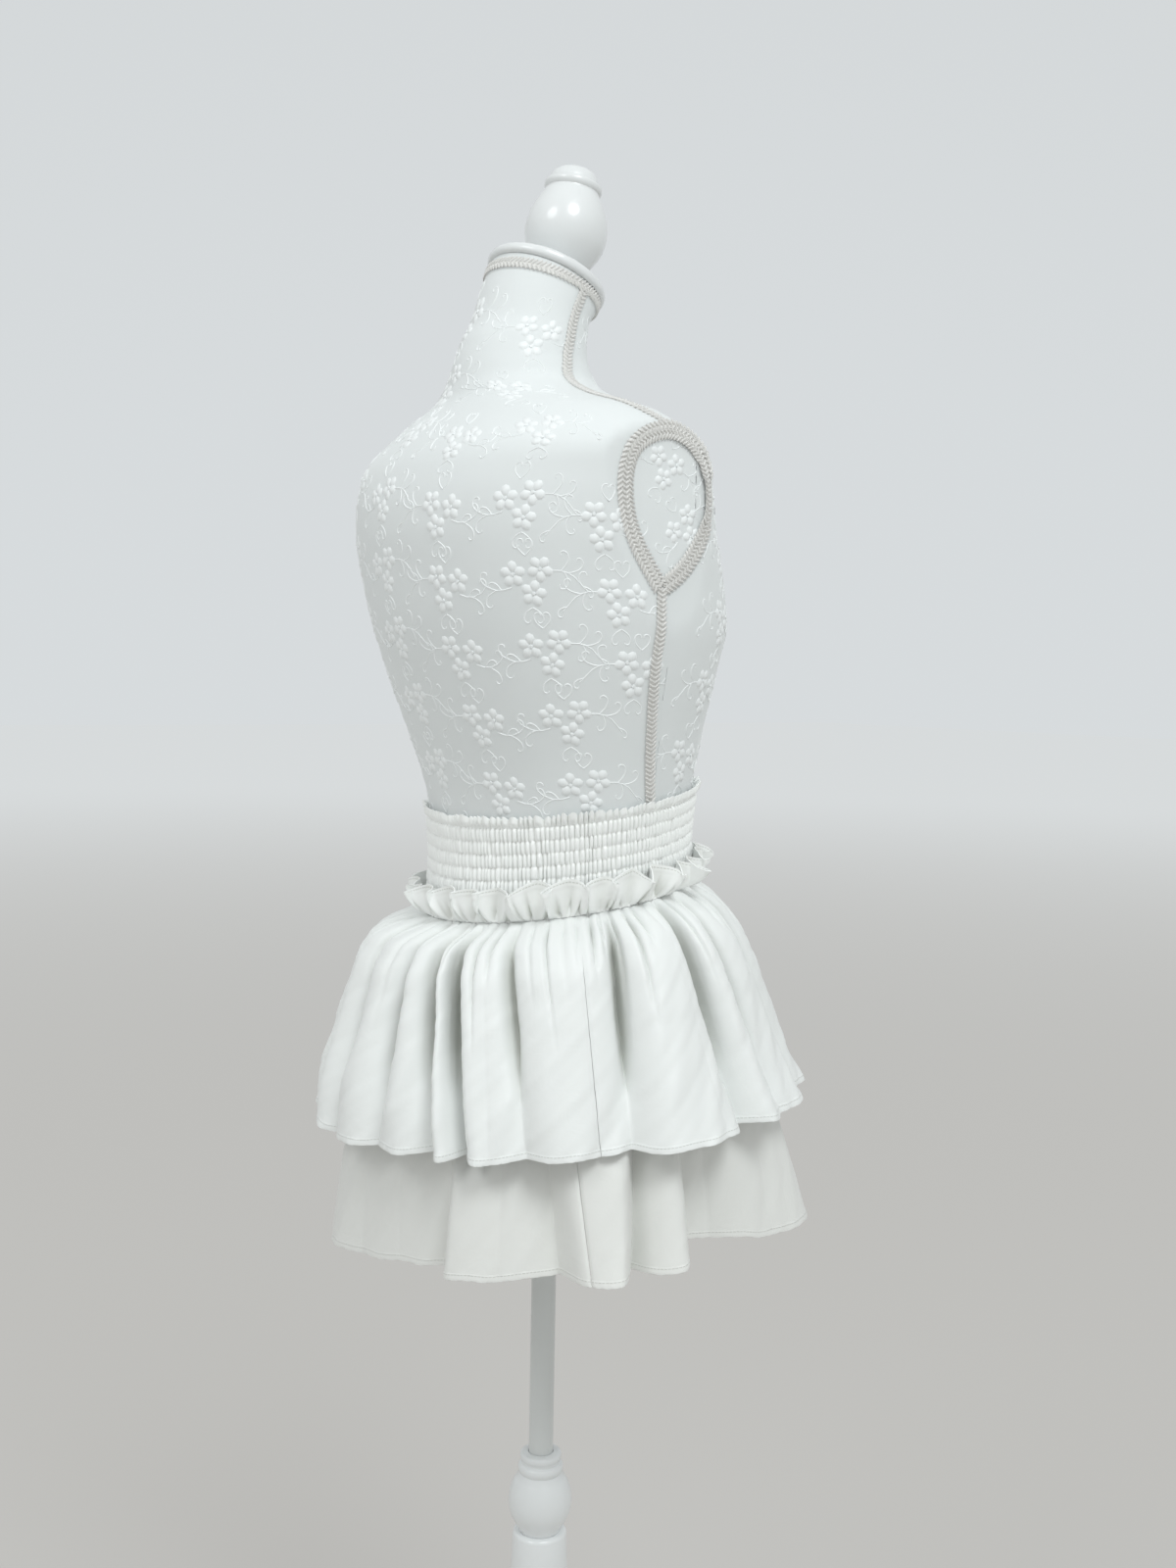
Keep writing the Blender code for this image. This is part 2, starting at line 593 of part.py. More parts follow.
# ---------------------------------------------------------------- lower tier
# The lower tier keeps inside the upper one: its radius is held below the least
# inner radius of the upper tier at the same angle and height.
places = np.arange(0, len(UPPER_FOLDS), 1 / 8)
depths = np.linspace(0.03, 1.0, 40)
cover = tier_surface(places, depths, UPPER_FOLDS, UPPER_FLARE, UPPER_HEM, STACK_OUT)
BINS, Z_LOW, Z_HIGH, LEVELS = 180, 0.76, 1.00, 60
limit = np.full((LEVELS + 2, BINS), np.inf)
for point in cover.reshape(-1, 3):
    turn = int(math.degrees(math.atan2(point[1] + 0.01, point[0])) % 360 / 360 * BINS) % BINS
    level = int((point[2] - Z_LOW) / (Z_HIGH - Z_LOW) * LEVELS)
    level = min(max(level, 0), LEVELS + 1)
    limit[level, turn] = min(limit[level, turn], math.hypot(point[0], point[1] + 0.01))
for _ in range(2):
    stack = [np.roll(limit, k, 1) for k in (-1, 0, 1)]
    limit = np.minimum.reduce(stack)
padded = np.pad(limit, ((1, 1), (0, 0)), constant_values=np.inf)
limit = np.minimum.reduce([padded[:-2], padded[1:-1], padded[2:]])
for _ in range(5):                      # carried on a little below the hem
    above = np.vstack((limit[1:], limit[-1:]))
    limit = np.where(np.isinf(limit), above, limit)
HOLD = CLOTH + 0.0012


def keep_inside(grid):
    """Pull the covered part of the lower tier in under the upper one."""
    grid = grid.copy()
    x, y, z = grid[..., 0], grid[..., 1] + 0.01, grid[..., 2]
    radius = np.hypot(x, y)
    turn = (np.degrees(np.arctan2(y, x)) % 360 / 360 * BINS).astype(int) % BINS
    level = np.clip(((z - Z_LOW) / (Z_HIGH - Z_LOW) * LEVELS).astype(int), 0, LEVELS + 1)
    most = np.where(z < Z_LOW, np.inf, limit[level, turn] - HOLD)
    scale = np.minimum(1.0, most / radius)
    scale[:2] = 1.0                     # the gathered top lies close to the form
    grid[..., 0] = x * scale
    grid[..., 1] = y * scale - 0.01
    return grid


LOWER_DEPTHS = (0.0, 0.04, 0.14, 0.34, 0.58, 0.78, 1.0)
SHORTS_OUT = EASE + SHORTS_ROWS[0][2] + CLOTH + GAP   # first face outside the shorts
tier_panels(("lower_tier_back", "lower_tier_front"), LOWER_FOLDS, LOWER_SEAMS,
            LOWER_STEPS, LOWER_DEPTHS, LOWER_FLARE, LOWER_HEM, SHORTS_OUT,
            BAND_LAP + GAP, keep_inside)


# ---------------------------------------------------------------- shorts
def shorts_panel(name, side, face):
    """side is +1 for the wearer's left, face is -1 for the front."""
    u = np.linspace(0.0, 1.0, SHORTS_COLUMNS + 1)
    rows = []
    start = 0.0 if side > 0 else 180.0
    if side > 0 and face < 0:
        start = 360.0
    hip_w = float(smooth_table(FORM_SECTIONS, 0.870, 2))
    for row, turn, slack in SHORTS_ROWS:
        # the centre seam swings to the fork's side of the pole on its way down
        swing = math.degrees(math.asin(SHORTS_FORK_X * min(row / 0.75, 1.0) / hip_w))
        centre = 90.0 - swing if face > 0 else 270.0 + swing
        angle = start + (centre - start) * u
        seam = height_on(WAIST_SEAM, angle, 0.975) - BAND_LAP - GAP
        z = seam + (SHORTS_FORK_Z - seam) * min(row, 1.0)
        z = z + (SHORTS_HEM_Z - SHORTS_FORK_Z) * max(row - 1.0, 0.0)
        leg = math.pi * u
        out = EASE + slack + CLOTH
        body_x, body_y = form_point(angle, np.maximum(z, 0.870), out)
        wide = abs(side * (hip_w + out) - SHORTS_FORK_X) / 2
        leg_x = SHORTS_FORK_X + side * wide * (1 + np.cos(leg))
        leg_y = LEG_CENTRE_Y + face * LEG_DEPTH * np.sin(leg)
        x = body_x * (1 - turn) + leg_x * turn + side * GAP / 2 * u ** 4
        y = body_y * (1 - turn) + leg_y * turn + face * GAP / 2 * (1 - np.sin(leg))
        rows.append(np.stack((x, y, z), 1))
    outer = np.array(rows) if side * face > 0 else np.array(rows)[:, ::-1]
    n = normals_of(outer, False)
    # at each seam the wall stands square to its neighbour's edge
    centre_column, side_column = (-1, 0) if side * face > 0 else (0, -1)
    turned_rows = np.array([row[1] >= 1.0 for row in SHORTS_ROWS])
    n[:, side_column, 1] = 0.0
    n[turned_rows, centre_column] = (-side, 0.0, 0.0)
    n[~turned_rows, centre_column, 0] = 0.0
    for k in (0, -1):
        n[k, :, 2] = 0.0
    n /= np.linalg.norm(n, axis=2)[:, :, None]
    return wall(name, outer, outer - n * CLOTH, CLOTH_MAT, False)


shorts_panel("shorts_front_left", 1, -1)
shorts_panel("shorts_front_right", -1, -1)
shorts_panel("shorts_back_left", 1, 1)
shorts_panel("shorts_back_right", -1, 1)
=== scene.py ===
"""Looks of a white tiered skort on its dress form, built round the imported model.
Metres, +Z up, the front of the garment towards -Y, the wearer's right towards -X.
"""
import bpy
import math
import numpy as np
from mathutils import Matrix, Vector


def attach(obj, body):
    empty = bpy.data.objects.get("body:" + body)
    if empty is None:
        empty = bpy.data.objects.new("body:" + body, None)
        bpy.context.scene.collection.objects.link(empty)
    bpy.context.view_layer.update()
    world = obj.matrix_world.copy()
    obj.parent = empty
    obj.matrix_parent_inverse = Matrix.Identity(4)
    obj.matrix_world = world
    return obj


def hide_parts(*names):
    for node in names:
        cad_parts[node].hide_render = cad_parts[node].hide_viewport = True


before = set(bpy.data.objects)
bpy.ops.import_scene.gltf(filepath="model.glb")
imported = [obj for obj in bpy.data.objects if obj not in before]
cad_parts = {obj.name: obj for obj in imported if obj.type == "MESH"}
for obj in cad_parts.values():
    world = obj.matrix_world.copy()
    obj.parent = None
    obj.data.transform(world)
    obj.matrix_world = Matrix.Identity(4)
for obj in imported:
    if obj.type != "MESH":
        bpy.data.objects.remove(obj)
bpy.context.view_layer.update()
bpy.ops.object.select_all(action="DESELECT")

# ------------------------------------------------------------------ camera
# It stands behind the wearer's right side at shoulder height, a little over a
# metre from the pole, with a moderately wide lens, looking slightly down.
CAMERA_TURN, CAMERA_FAR, CAMERA_HIGH = math.radians(55.0), 1.25, 1.152
LENS_MM = 36.0
yaw, pitch, roll = math.atan(36.8 / 1600), math.atan(110 / 1600), math.radians(1.05)
ahead = Vector((math.sin(CAMERA_TURN), -math.cos(CAMERA_TURN), 0))
across = Vector((-math.cos(CAMERA_TURN), -math.sin(CAMERA_TURN), 0))
ahead, across = (ahead * math.cos(yaw) + across * math.sin(yaw),
                 across * math.cos(yaw) - ahead * math.sin(yaw))
above = Vector((0, 0, 1))
ahead, above = (ahead * math.cos(pitch) - above * math.sin(pitch),
                above * math.cos(pitch) + ahead * math.sin(pitch))
across, above = (across * math.cos(roll) + above * math.sin(roll),
                 above * math.cos(roll) - across * math.sin(roll))
bpy.ops.object.camera_add(location=(-math.sin(CAMERA_TURN) * CAMERA_FAR,
                                    math.cos(CAMERA_TURN) * CAMERA_FAR, CAMERA_HIGH))
camera = bpy.context.object
camera.rotation_mode = "QUATERNION"
camera.rotation_quaternion = Matrix((across, above, -ahead)).transposed().to_quaternion()
camera.data.lens, camera.data.sensor_width = LENS_MM, 36.0
camera.data.clip_start, camera.data.clip_end = 0.05, 100
bpy.context.scene.camera = camera

# ------------------------------------------------------------------ dress form
# A padded shell for display, without arms or legs, cut flat at the armholes and
# leaning forward at the neck.  Its cover is fine pale grey cloth pulled smooth.
# height, centre y, half width, depth behind, depth in front, squareness, lean
FORM_SECTIONS = (
    (0.8250, -0.008, 0.1180, 0.0890, 0.0890, 2.0, 0),
    (0.8275, -0.008, 0.1335, 0.1035, 0.1035, 2.0, 0),
    (0.8420, -0.008, 0.1440, 0.1130, 0.1130, 2.0, 0),
    (0.8700, -0.008, 0.1450, 0.1140, 0.1140, 2.0, 0),
    (0.8950, -0.007, 0.1405, 0.1100, 0.1100, 2.0, 0),
    (0.9200, -0.006, 0.1338, 0.1042, 0.1042, 2.0, 0),
    (0.9450, -0.006, 0.1268, 0.0982, 0.0982, 2.0, 0),
    (0.9700, -0.006, 0.1215, 0.0930, 0.0930, 2.0, 0),
    (0.9900, -0.006, 0.1195, 0.0910, 0.0910, 2.0, 0),
    (1.0100, -0.006, 0.1190, 0.0906, 0.0906, 2.0, 0),
    (1.0300, -0.005, 0.1195, 0.0912, 0.0912, 2.0, 0),
    (1.0550, -0.004, 0.1223, 0.0942, 0.0942, 2.0, 0),
    (1.0800, -0.002, 0.1275, 0.0995, 0.0990, 2.0, 0),
    (1.1200, 0.002, 0.1385, 0.1105, 0.1085, 2.0, 0),
    (1.1600, 0.005, 0.1500, 0.1225, 0.1195, 2.0, 0),
    (1.1900, 0.007, 0.1565, 0.1305, 0.1275, 2.0, 0),
    (1.2250, 0.010, 0.1600, 0.1340, 0.1180, 2.1, 0),
    (1.2600, 0.015, 0.1645, 0.1335, 0.1080, 2.1, 0),
    (1.2900, 0.018, 0.1670, 0.1270, 0.1030, 2.1, 0),
    (1.3150, 0.020, 0.1665, 0.1140, 0.0980, 2.1, 0),
    (1.3330, 0.023, 0.1505, 0.0960, 0.0870, 2.0, 0),
    (1.3460, 0.026, 0.1290, 0.0800, 0.0740, 2.0, 0),
    (1.3570, 0.028, 0.0930, 0.0690, 0.0640, 2.0, 0),
    (1.3700, 0.030, 0.0650, 0.0625, 0.0540, 2.0, 0),
    (1.3860, 0.031, 0.0545, 0.0580, 0.0465, 2.0, 0),
    (1.4050, 0.029, 0.0500, 0.0535, 0.0420, 2.0, 0),
    (1.4230, 0.025, 0.0470, 0.0480, 0.0410, 2.0, 0),
    (1.4383, 0.020, 0.0458, 0.0463, 0.0428, 2.0, 11),
    (1.4535, 0.015, 0.0445, 0.0445, 0.0445, 2.0, 22),
)
FORM_FOOT, NECK_TOP = FORM_SECTIONS[0][0], FORM_SECTIONS[-1][0]
ARM_PLATE_X = 0.1555
SOCKET_R, SOCKET_TOP = 0.0103, 0.8753
COVER_COLOUR = (0.775, 0.806, 0.806, 1)


def read_table(table, x, column):
    """Smooth reading of one column of a table against its first column."""
    rows = np.array(table, float)
    xs, ys = rows[:, 0], rows[:, column]
    slopes = np.gradient(ys, xs)
    x = np.clip(np.asarray(x, float), xs[0], xs[-1])
    i = np.clip(np.searchsorted(xs, x) - 1, 0, len(xs) - 2)
    h = xs[i + 1] - xs[i]
    t = (x - xs[i]) / h
    return ((2 * t**3 - 3 * t**2 + 1) * ys[i] + (t**3 - 2 * t**2 + t) * h * slopes[i]
            + (3 * t**2 - 2 * t**3) * ys[i + 1] + (t**3 - t**2) * h * slopes[i + 1])


def skin(angle, height):
    """A point of the form's cover. 0 degrees is the wearer's left, 90 the back."""
    a = np.radians(angle)
    yc, wide, behind, front, square, lean = (read_table(FORM_SECTIONS, height, k)
                                             for k in range(1, 7))
    c, s, lean = np.cos(a), np.sin(a), np.radians(lean)
    x = wide * np.sign(c) * np.abs(c) ** (2 / square)
    x = np.where(height > 1.15, np.clip(x, -ARM_PLATE_X, ARM_PLATE_X), x)
    y = np.where(s > 0, behind, front) * np.sign(s) * np.abs(s) ** (2 / square)
    return np.stack(np.broadcast_arrays(x, yc + y * np.cos(lean),
                                        height + y * np.sin(lean)), -1)


def skin_steps(angle, height):
    """How a point of the cover moves per degree and per metre, and its normal."""
    turn = (skin(angle + 0.3, height) - skin(angle - 0.3, height)) / 0.6
    low, high = np.maximum(height - 0.002, FORM_FOOT), np.minimum(height + 0.002, NECK_TOP)
    rise = (skin(angle, high) - skin(angle, low)) / (high - low)[..., None]
    normal = np.cross(turn, rise)
    return turn, rise, normal / np.linalg.norm(normal, axis=-1, keepdims=True)


def mesh_piece(name, points, faces, uvs=None, smooth=60):
    """A mesh object from points and faces, with one UV for each point."""
    mesh = bpy.data.meshes.new(name)
    mesh.from_pydata([tuple(p) for p in np.asarray(points)], [], faces)
    if uvs is not None:
        corner = np.zeros(len(mesh.loops), int)
        mesh.loops.foreach_get("vertex_index", corner)
        layer = mesh.uv_layers.new(name="cloth")
        layer.data.foreach_set("uv", np.asarray(uvs, float)[corner].ravel())
    piece = bpy.data.objects.new(name, mesh)
    bpy.context.collection.objects.link(piece)
    bpy.ops.object.select_all(action="DESELECT")
    bpy.context.view_layer.objects.active = piece
    piece.select_set(True)
    bpy.ops.object.shade_smooth_by_angle(angle=math.radians(smooth))
    piece.select_set(False)
    return piece


def grid_faces(rows, count, closed, start=0):
    """Four-sided faces between rows of points that run anticlockwise, top first."""
    stop = count if closed else count - 1
    faces = []
    for k in range(rows - 1):
        a, b = start + k * count, start + (k + 1) * count
        for j in range(stop):
            n = (j + 1) % count
            faces.append((a + j, b + j, b + n, a + n))
    return faces


def new_material(name):
    """A new material, with its nodes, its links and its shader."""
    mat = bpy.data.materials.new(name)
    mat.use_nodes = True
    nodes = mat.node_tree.nodes
    return mat, nodes, mat.node_tree.links, nodes["Principled BSDF"]


def put(node, values):
    """Sets inputs of a shader node, by name or number."""
    for key, value in values.items():
        node.inputs[key].default_value = value


def two_shades(ramp, colour, low, high):
    """Runs a colour ramp from a darker to a lighter shade of one colour."""
    for stop, share in zip(ramp.color_ramp.elements, (low, high)):
        stop.color = tuple(min(1, c * share) for c in colour[:3]) + (1,)


def cloth_material(name, colour, sheen, weave, weave_bump, cloud, rough):
    """Woven cloth: crossed threads, a soft cloudy tone and a slubby roughness."""
    mat, nodes, links, shader = new_material(name)
    put(shader, {"Sheen Weight": sheen, "Sheen Roughness": 0.45, "Specular IOR Level": 0.35})
    place = nodes.new("ShaderNodeTexCoord")
    scale = nodes.new("ShaderNodeMapping")
    put(scale, {"Scale": (weave, weave, 1)})
    links.new(place.outputs["UV"], scale.inputs["Vector"])
    warp, weft = nodes.new("ShaderNodeTexWave"), nodes.new("ShaderNodeTexWave")
    for thread, way in ((warp, "X"), (weft, "Y")):
        thread.bands_direction = way
        put(thread, {"Scale": 1.0, "Distortion": 0.6})
        links.new(scale.outputs["Vector"], thread.inputs["Vector"])
    cross = nodes.new("ShaderNodeMath")
    cross.operation = "MULTIPLY"
    links.new(warp.outputs["Fac"], cross.inputs[0])
    links.new(weft.outputs["Fac"], cross.inputs[1])
    tone = nodes.new("ShaderNodeTexNoise")
    put(tone, {"Scale": 9.0, "Detail": 5.0})
    links.new(place.outputs["Object"], tone.inputs["Vector"])
    ramp = nodes.new("ShaderNodeValToRGB")
    ramp.color_ramp.elements[0].position, ramp.color_ramp.elements[1].position = 0.3, 0.7
    two_shades(ramp, colour, 1 - cloud, 1 + cloud)
    links.new(tone.outputs["Fac"], ramp.inputs["Fac"])
    links.new(ramp.outputs["Color"], shader.inputs["Base Color"])
    slub = nodes.new("ShaderNodeMapRange")
    put(slub, {"To Min": rough - 0.07, "To Max": rough + 0.07})
    links.new(tone.outputs["Fac"], slub.inputs["Value"])
    links.new(slub.outputs["Result"], shader.inputs["Roughness"])
    bump = nodes.new("ShaderNodeBump")
    put(bump, {"Strength": weave_bump, "Distance": 0.0003})
    links.new(cross.outputs["Value"], bump.inputs["Height"])
    links.new(bump.outputs["Normal"], shader.inputs["Normal"])
    mat["bump"] = bump.name
    return mat


form_heights = np.concatenate(
    (np.linspace(FORM_FOOT, 0.842, 10), np.linspace(0.846, 1.15, 44),
     np.linspace(1.156, 1.33, 34), np.linspace(1.333, NECK_TOP, 40)))
COLUMNS = 216
turns = np.arange(COLUMNS) * 360.0 / COLUMNS
points = [skin(turns, np.full(COLUMNS, h)) for h in form_heights[::-1]]
for height in (FORM_FOOT, SOCKET_TOP):
    points.append(np.stack((SOCKET_R * np.cos(np.radians(turns)),
                            SOCKET_R * np.sin(np.radians(turns)), np.full(COLUMNS, height)), 1))
rows = len(points)
points = np.concatenate(points)
uvs = np.stack((np.tile(turns, rows) * 0.0026, points[:, 2]), 1)
faces = grid_faces(rows, COLUMNS, True)
faces += [tuple(range(COLUMNS)), tuple(range((rows - 1) * COLUMNS, rows * COLUMNS))[::-1]]
torso = mesh_piece("form_cover", points, faces, uvs, 40)
torso.data.materials.append(
    cloth_material("cover_cloth", COVER_COLOUR, 0.25, 9000, 0.12, 0.018, 0.72))
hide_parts("form_torso")
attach(torso, "root")

# ------------------------------------------------------------------ embroidery
# Sprays of three five-petalled flowers with curling stems, worked in padded white
# satin stitch on the cover before it was cut, in staggered rows on each panel.
SPRAY_STEP, SPRAY_RISE = 0.0730, 0.0525
LOWEST_SPRAY = 0.9760
COLUMN_SHIFT, SEAM_MARGIN = 0.016, 0.016  # off the panel's middle, clear of the side seams
PETAL = (0.0044, 0.0037, 0.0006)          # half length, half width, height
PETAL_OUT, EYE = 0.0053, (0.0015, 0.0015, 0.0011)
FLOWERS = ((-0.0108, 0.0034, 20.0), (0.0092, 0.0072, 55.0), (0.0034, -0.0100, 5.0))
STITCH_COLOUR = (0.870, 0.898, 0.900, 1)


def curl(start, way, size, turns_made, hand):
    """A short stem that ends in a spiral, as a list of flat points."""
    x, y = start
    points = [(x, y)]
    heading = math.radians(way)
    for k in range(15):
        bend = hand * (0.10 + 1.25 * (k / 14.0) ** 1.3) * turns_made
        heading += bend
        step = size * (1 - 0.55 * k / 14.0)
        x, y = x + step * math.cos(heading), y + step * math.sin(heading)
        points.append((x, y))
    return points


STEMS = (
    [(-0.012, -0.0060), (-0.018, -0.0078), (-0.024, -0.0080), (-0.029, -0.0062)],
    curl((-0.025, -0.0076), 165, 0.0021, 0.46, -1),
    curl((-0.023, -0.0080), 200, 0.0020, 0.46, 1),
    curl((-0.020, -0.0078), 120, 0.0015, 0.50, 1),
    [(0.0175, 0.0060), (0.0230, 0.0060), (0.0280, 0.0048), (0.0330, 0.0020),
     (0.0375, -0.0030), (0.0420, -0.0080)],
    curl((0.0240, 0.0060), 40, 0.0020, 0.46, 1),
    curl((0.0290, 0.0045), 5, 0.0020, 0.46, 1),
    curl((0.0260, 0.0054), -60, 0.0018, 0.48, -1),
    curl((0.0390, -0.0048), -10, 0.0014, 0.50, -1),
    curl((-0.0010, 0.0165), 35, 0.0017, 0.46, 1),
    curl((-0.0010, 0.0165), 145, 0.0017, 0.46, -1),
    curl((0.0020, -0.0200), -25, 0.0017, 0.46, -1),
    curl((0.0020, -0.0200), 205, 0.0017, 0.46, 1),
)


def flat_spray(mirrored):
    """One spray as flat points (across, up, height) and faces."""
    points, faces = [], []

    def mound(cx, cy, way, half, wide, high, sides=8):
        start = len(points)
        c, s = math.cos(way), math.sin(way)
        for share, lift in ((1.0, -0.0002), (0.84, high * 0.80)):
            for k in range(sides):
                a = 2 * math.pi * k / sides
                u, v = half * share * math.cos(a), wide * share * math.sin(a)
                points.append((cx + u * c - v * s, cy + u * s + v * c, lift))
        points.append((cx, cy, high))
        for k in range(sides):
            n = (k + 1) % sides
            faces.append((start + k, start + n, start + sides + n, start + sides + k))
            faces.append((start + sides + k, start + sides + n, start + 2 * sides))

    for fx, fy, spin in FLOWERS:
        for k in range(5):
            way = math.radians(spin + 72 * k)
            mound(fx + PETAL_OUT * math.cos(way), fy + PETAL_OUT * math.sin(way), way, *PETAL)
        mound(fx, fy, 0, *EYE, 6)
    for stem in STEMS:
        line = np.array(stem)
        along = np.gradient(line, axis=0)
        along /= np.linalg.norm(along, axis=1)[:, None] + 1e-9
        side = np.stack((-along[:, 1], along[:, 0]), 1)
        start = len(points)
        for p, q in zip(line, side):
            for share, lift in ((0.0006, -0.0001), (0.0, 0.0004), (-0.0006, -0.0001)):
                points.append((p[0] + q[0] * share, p[1] + q[1] * share, lift))
        for k in range(len(line) - 1):
            a, b = start + 3 * k, start + 3 * k + 3
            faces += [(a, a + 1, b + 1, b), (a + 1, a + 2, b + 2, b + 1)]
    points = np.array(points)
    if mirrored:
        points[:, 0] *= -1
        faces = [tuple(reversed(f)) for f in faces]
    return points, faces


# which way the faces run is settled once, so that every spray faces outwards
sprays = [flat_spray(False), flat_spray(True)]
all_points, all_faces, count = [], [], 0
for panel_middle in (90.0, 270.0):
    for column in range(-3, 4):
        height = LOWEST_SPRAY + (SPRAY_RISE / 2 if column % 2 else 0.0)
        height += 0.012 * math.sin(column * 2.1)
        while height < 1.452:
            turn, rise, _ = skin_steps(np.array([panel_middle + 10.0]), np.array([height]))
            per_degree, per_metre = np.linalg.norm(turn[0]), np.linalg.norm(rise[0])
            angle = panel_middle + (column * SPRAY_STEP - COLUMN_SHIFT) / per_degree
            half_span = 90.0 - SEAM_MARGIN / per_degree
            shoulder = 1.325 < height < 1.385 and abs(angle - panel_middle) > 62
            spot = skin(np.array([angle]), np.array([height]))
            on_plate = abs(spot[0, 0]) > ARM_PLATE_X - 1e-5
            if abs(angle - panel_middle) < half_span and not shoulder and not on_plate:
                flat, pieces = sprays[(column + (panel_middle > 180)) % 2]
                turn, rise, _ = skin_steps(np.array([angle]), np.array([height]))
                wide = np.linalg.norm(turn[0])
                tall = np.linalg.norm(rise[0])
                a = angle + flat[:, 0] / wide
                keep = np.clip(a, panel_middle - 89.5, panel_middle + 89.5)
                h = np.clip(height + flat[:, 1] / tall, 0.93, 1.4495)
                on, (_, _, normal) = skin(keep, h), skin_steps(keep, h)
                all_points.append(on + normal * flat[:, 2:3])
                all_faces += [tuple(count + v for v in f) for f in pieces]
                count += len(flat)
            height += SPRAY_RISE / max(per_metre, 1.0)
for side in (-1, 1):                   # the armhole plates carry two sprays each
    for y, z, tilt in ((0.016, 1.300, 0.5), (-0.002, 1.258, -0.6)):
        flat, pieces = sprays[0 if side < 0 else 1]
        c, s = math.cos(tilt * side), math.sin(tilt * side)
        u, v = flat[:, 0] * c - flat[:, 1] * s, flat[:, 0] * s + flat[:, 1] * c
        u, v = np.clip(u * 0.85, -0.028, 0.028), v * 0.85
        all_points.append(np.stack((side * (ARM_PLATE_X + flat[:, 2]), y + side * u, z + v), 1))
        all_faces += [tuple(count + k for k in f) for f in pieces]
        count += len(flat)
embroidery = mesh_piece("embroidery", np.concatenate(all_points), all_faces, None, 55)
thread, nodes, links, shader = new_material("white_thread")
put(shader, {"Base Color": STITCH_COLOUR, "Roughness": 0.5, "Sheen Weight": 0.3})
embroidery.data.materials.append(thread)
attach(embroidery, "root")

# ------------------------------------------------------------------ braid
# Silver-beige gimp, a woven braid with two rows of slanting loops, glued over the
# seams: round the neck and down each side, and with four rows round each armhole.
LOOP_STEP, LOOP = 0.0034, (0.0033, 0.00092, 0.0013)   # half length, half width, height
TAPE_EDGE, TAPE_THICK = 0.0016, 0.0007
NECK_BRAID_Z = 1.4482
BRAID_COLOUR = (0.735, 0.728, 0.705, 1)
SIDE_SEAM = ((1.060, 179.0), (1.090, 177.0), (1.120, 175.8), (1.160, 174.6),
             (1.185, 175.4), (1.2155, 176.7))
# place round the armhole, angle, height, how far towards the plate the edge turns
ARMHOLE = ((0.00, 176.2, 1.2155, 0), (0.06, 173.2, 1.2270, 3), (0.14, 169.2, 1.2440, 3),
           (0.22, 166.6, 1.2620, 4), (0.30, 165.6, 1.2800, 4), (0.38, 166.2, 1.2980, 4),
           (0.46, 169.4, 1.3130, 3), (0.53, 176.5, 1.3225, 2), (0.60, 186.5, 1.3260, 0),
           (0.66, 195.0, 1.3210, -2), (0.73, 201.0, 1.3070, -3), (0.80, 203.0, 1.2880, -4),
           (0.87, 200.5, 1.2660, -4), (0.93, 192.5, 1.2440, -3), (0.97, 184.2, 1.2270, -3),
           (1.00, 177.2, 1.2155, 0))
NECK_SEAM = ((1.3270, 187.0), (1.3345, 183.0), (1.3420, 178.0), (1.3500, 174.5), (1.3620, 174.0),
             (1.3750, 177.0), (1.3880, 181.0), (1.4050, 185.5), (1.4250, 189.0), (1.4440, 191.0))


def even_steps(line, normals, step):
    """The same line with its points a step apart, and their normals."""
    gone = np.concatenate(([0.0], np.cumsum(np.linalg.norm(np.diff(line, axis=0), axis=1))))
    places = np.linspace(0, gone[-1], max(2, int(round(gone[-1] / step)) + 1))
    line = np.stack([np.interp(places, gone, line[:, k]) for k in range(3)], 1)
    normals = np.stack([np.interp(places, gone, normals[:, k]) for k in range(3)], 1)
    return line, normals / np.linalg.norm(normals, axis=1)[:, None]


def gimp(line, normals, wide, points, faces):
    """Adds braid along a line: a flat tape with slanting loops on both sides."""
    line, normals = even_steps(line, normals, LOOP_STEP)
    along = np.gradient(line, axis=0)
    along /= np.linalg.norm(along, axis=1)[:, None]
    side = np.cross(normals, along)
    start = len(points)
    half = wide[0][0] + TAPE_EDGE
    for p, s, n in zip(line, side, normals):
        for share, lift in ((-1, 0.0), (-0.9, TAPE_THICK), (0.9, TAPE_THICK), (1, 0.0)):
            points.append(p + s * half * share + n * (lift * 1.6 - 0.0001))
    for k in range(len(line) - 1):
        for j in range(3):
            a = start + 4 * k + j
            faces.append((a, a + 4, a + 5, a + 1))
    for k in range(len(line) - 1):
        p, t, s, n = line[k], along[k], side[k], normals[k]
        for centre, slant in wide:
            c, d = math.cos(math.radians(slant)), math.sin(math.radians(slant))
            way, out = t * c + s * d, s * c - t * d
            middle = p + s * centre + t * LOOP_STEP * 0.5
            first = len(points)
            for share, size in ((-1.0, 0.25), (-0.55, 0.9), (0.1, 1.0), (0.7, 0.75), (1.0, 0.3)):
                for turn in (-90, -35, 35, 90):
                    w, h = math.sin(math.radians(turn)), math.cos(math.radians(turn))
                    points.append(middle + way * LOOP[0] * share + out * LOOP[1] * size * w
                                  + n * (0.0009 + LOOP[2] * size * h * (1.0 - 0.25 * share)))
            for r in range(4):
                for j in range(3):
                    a = first + 4 * r + j
                    faces.append((a, a + 1, a + 5, a + 4))


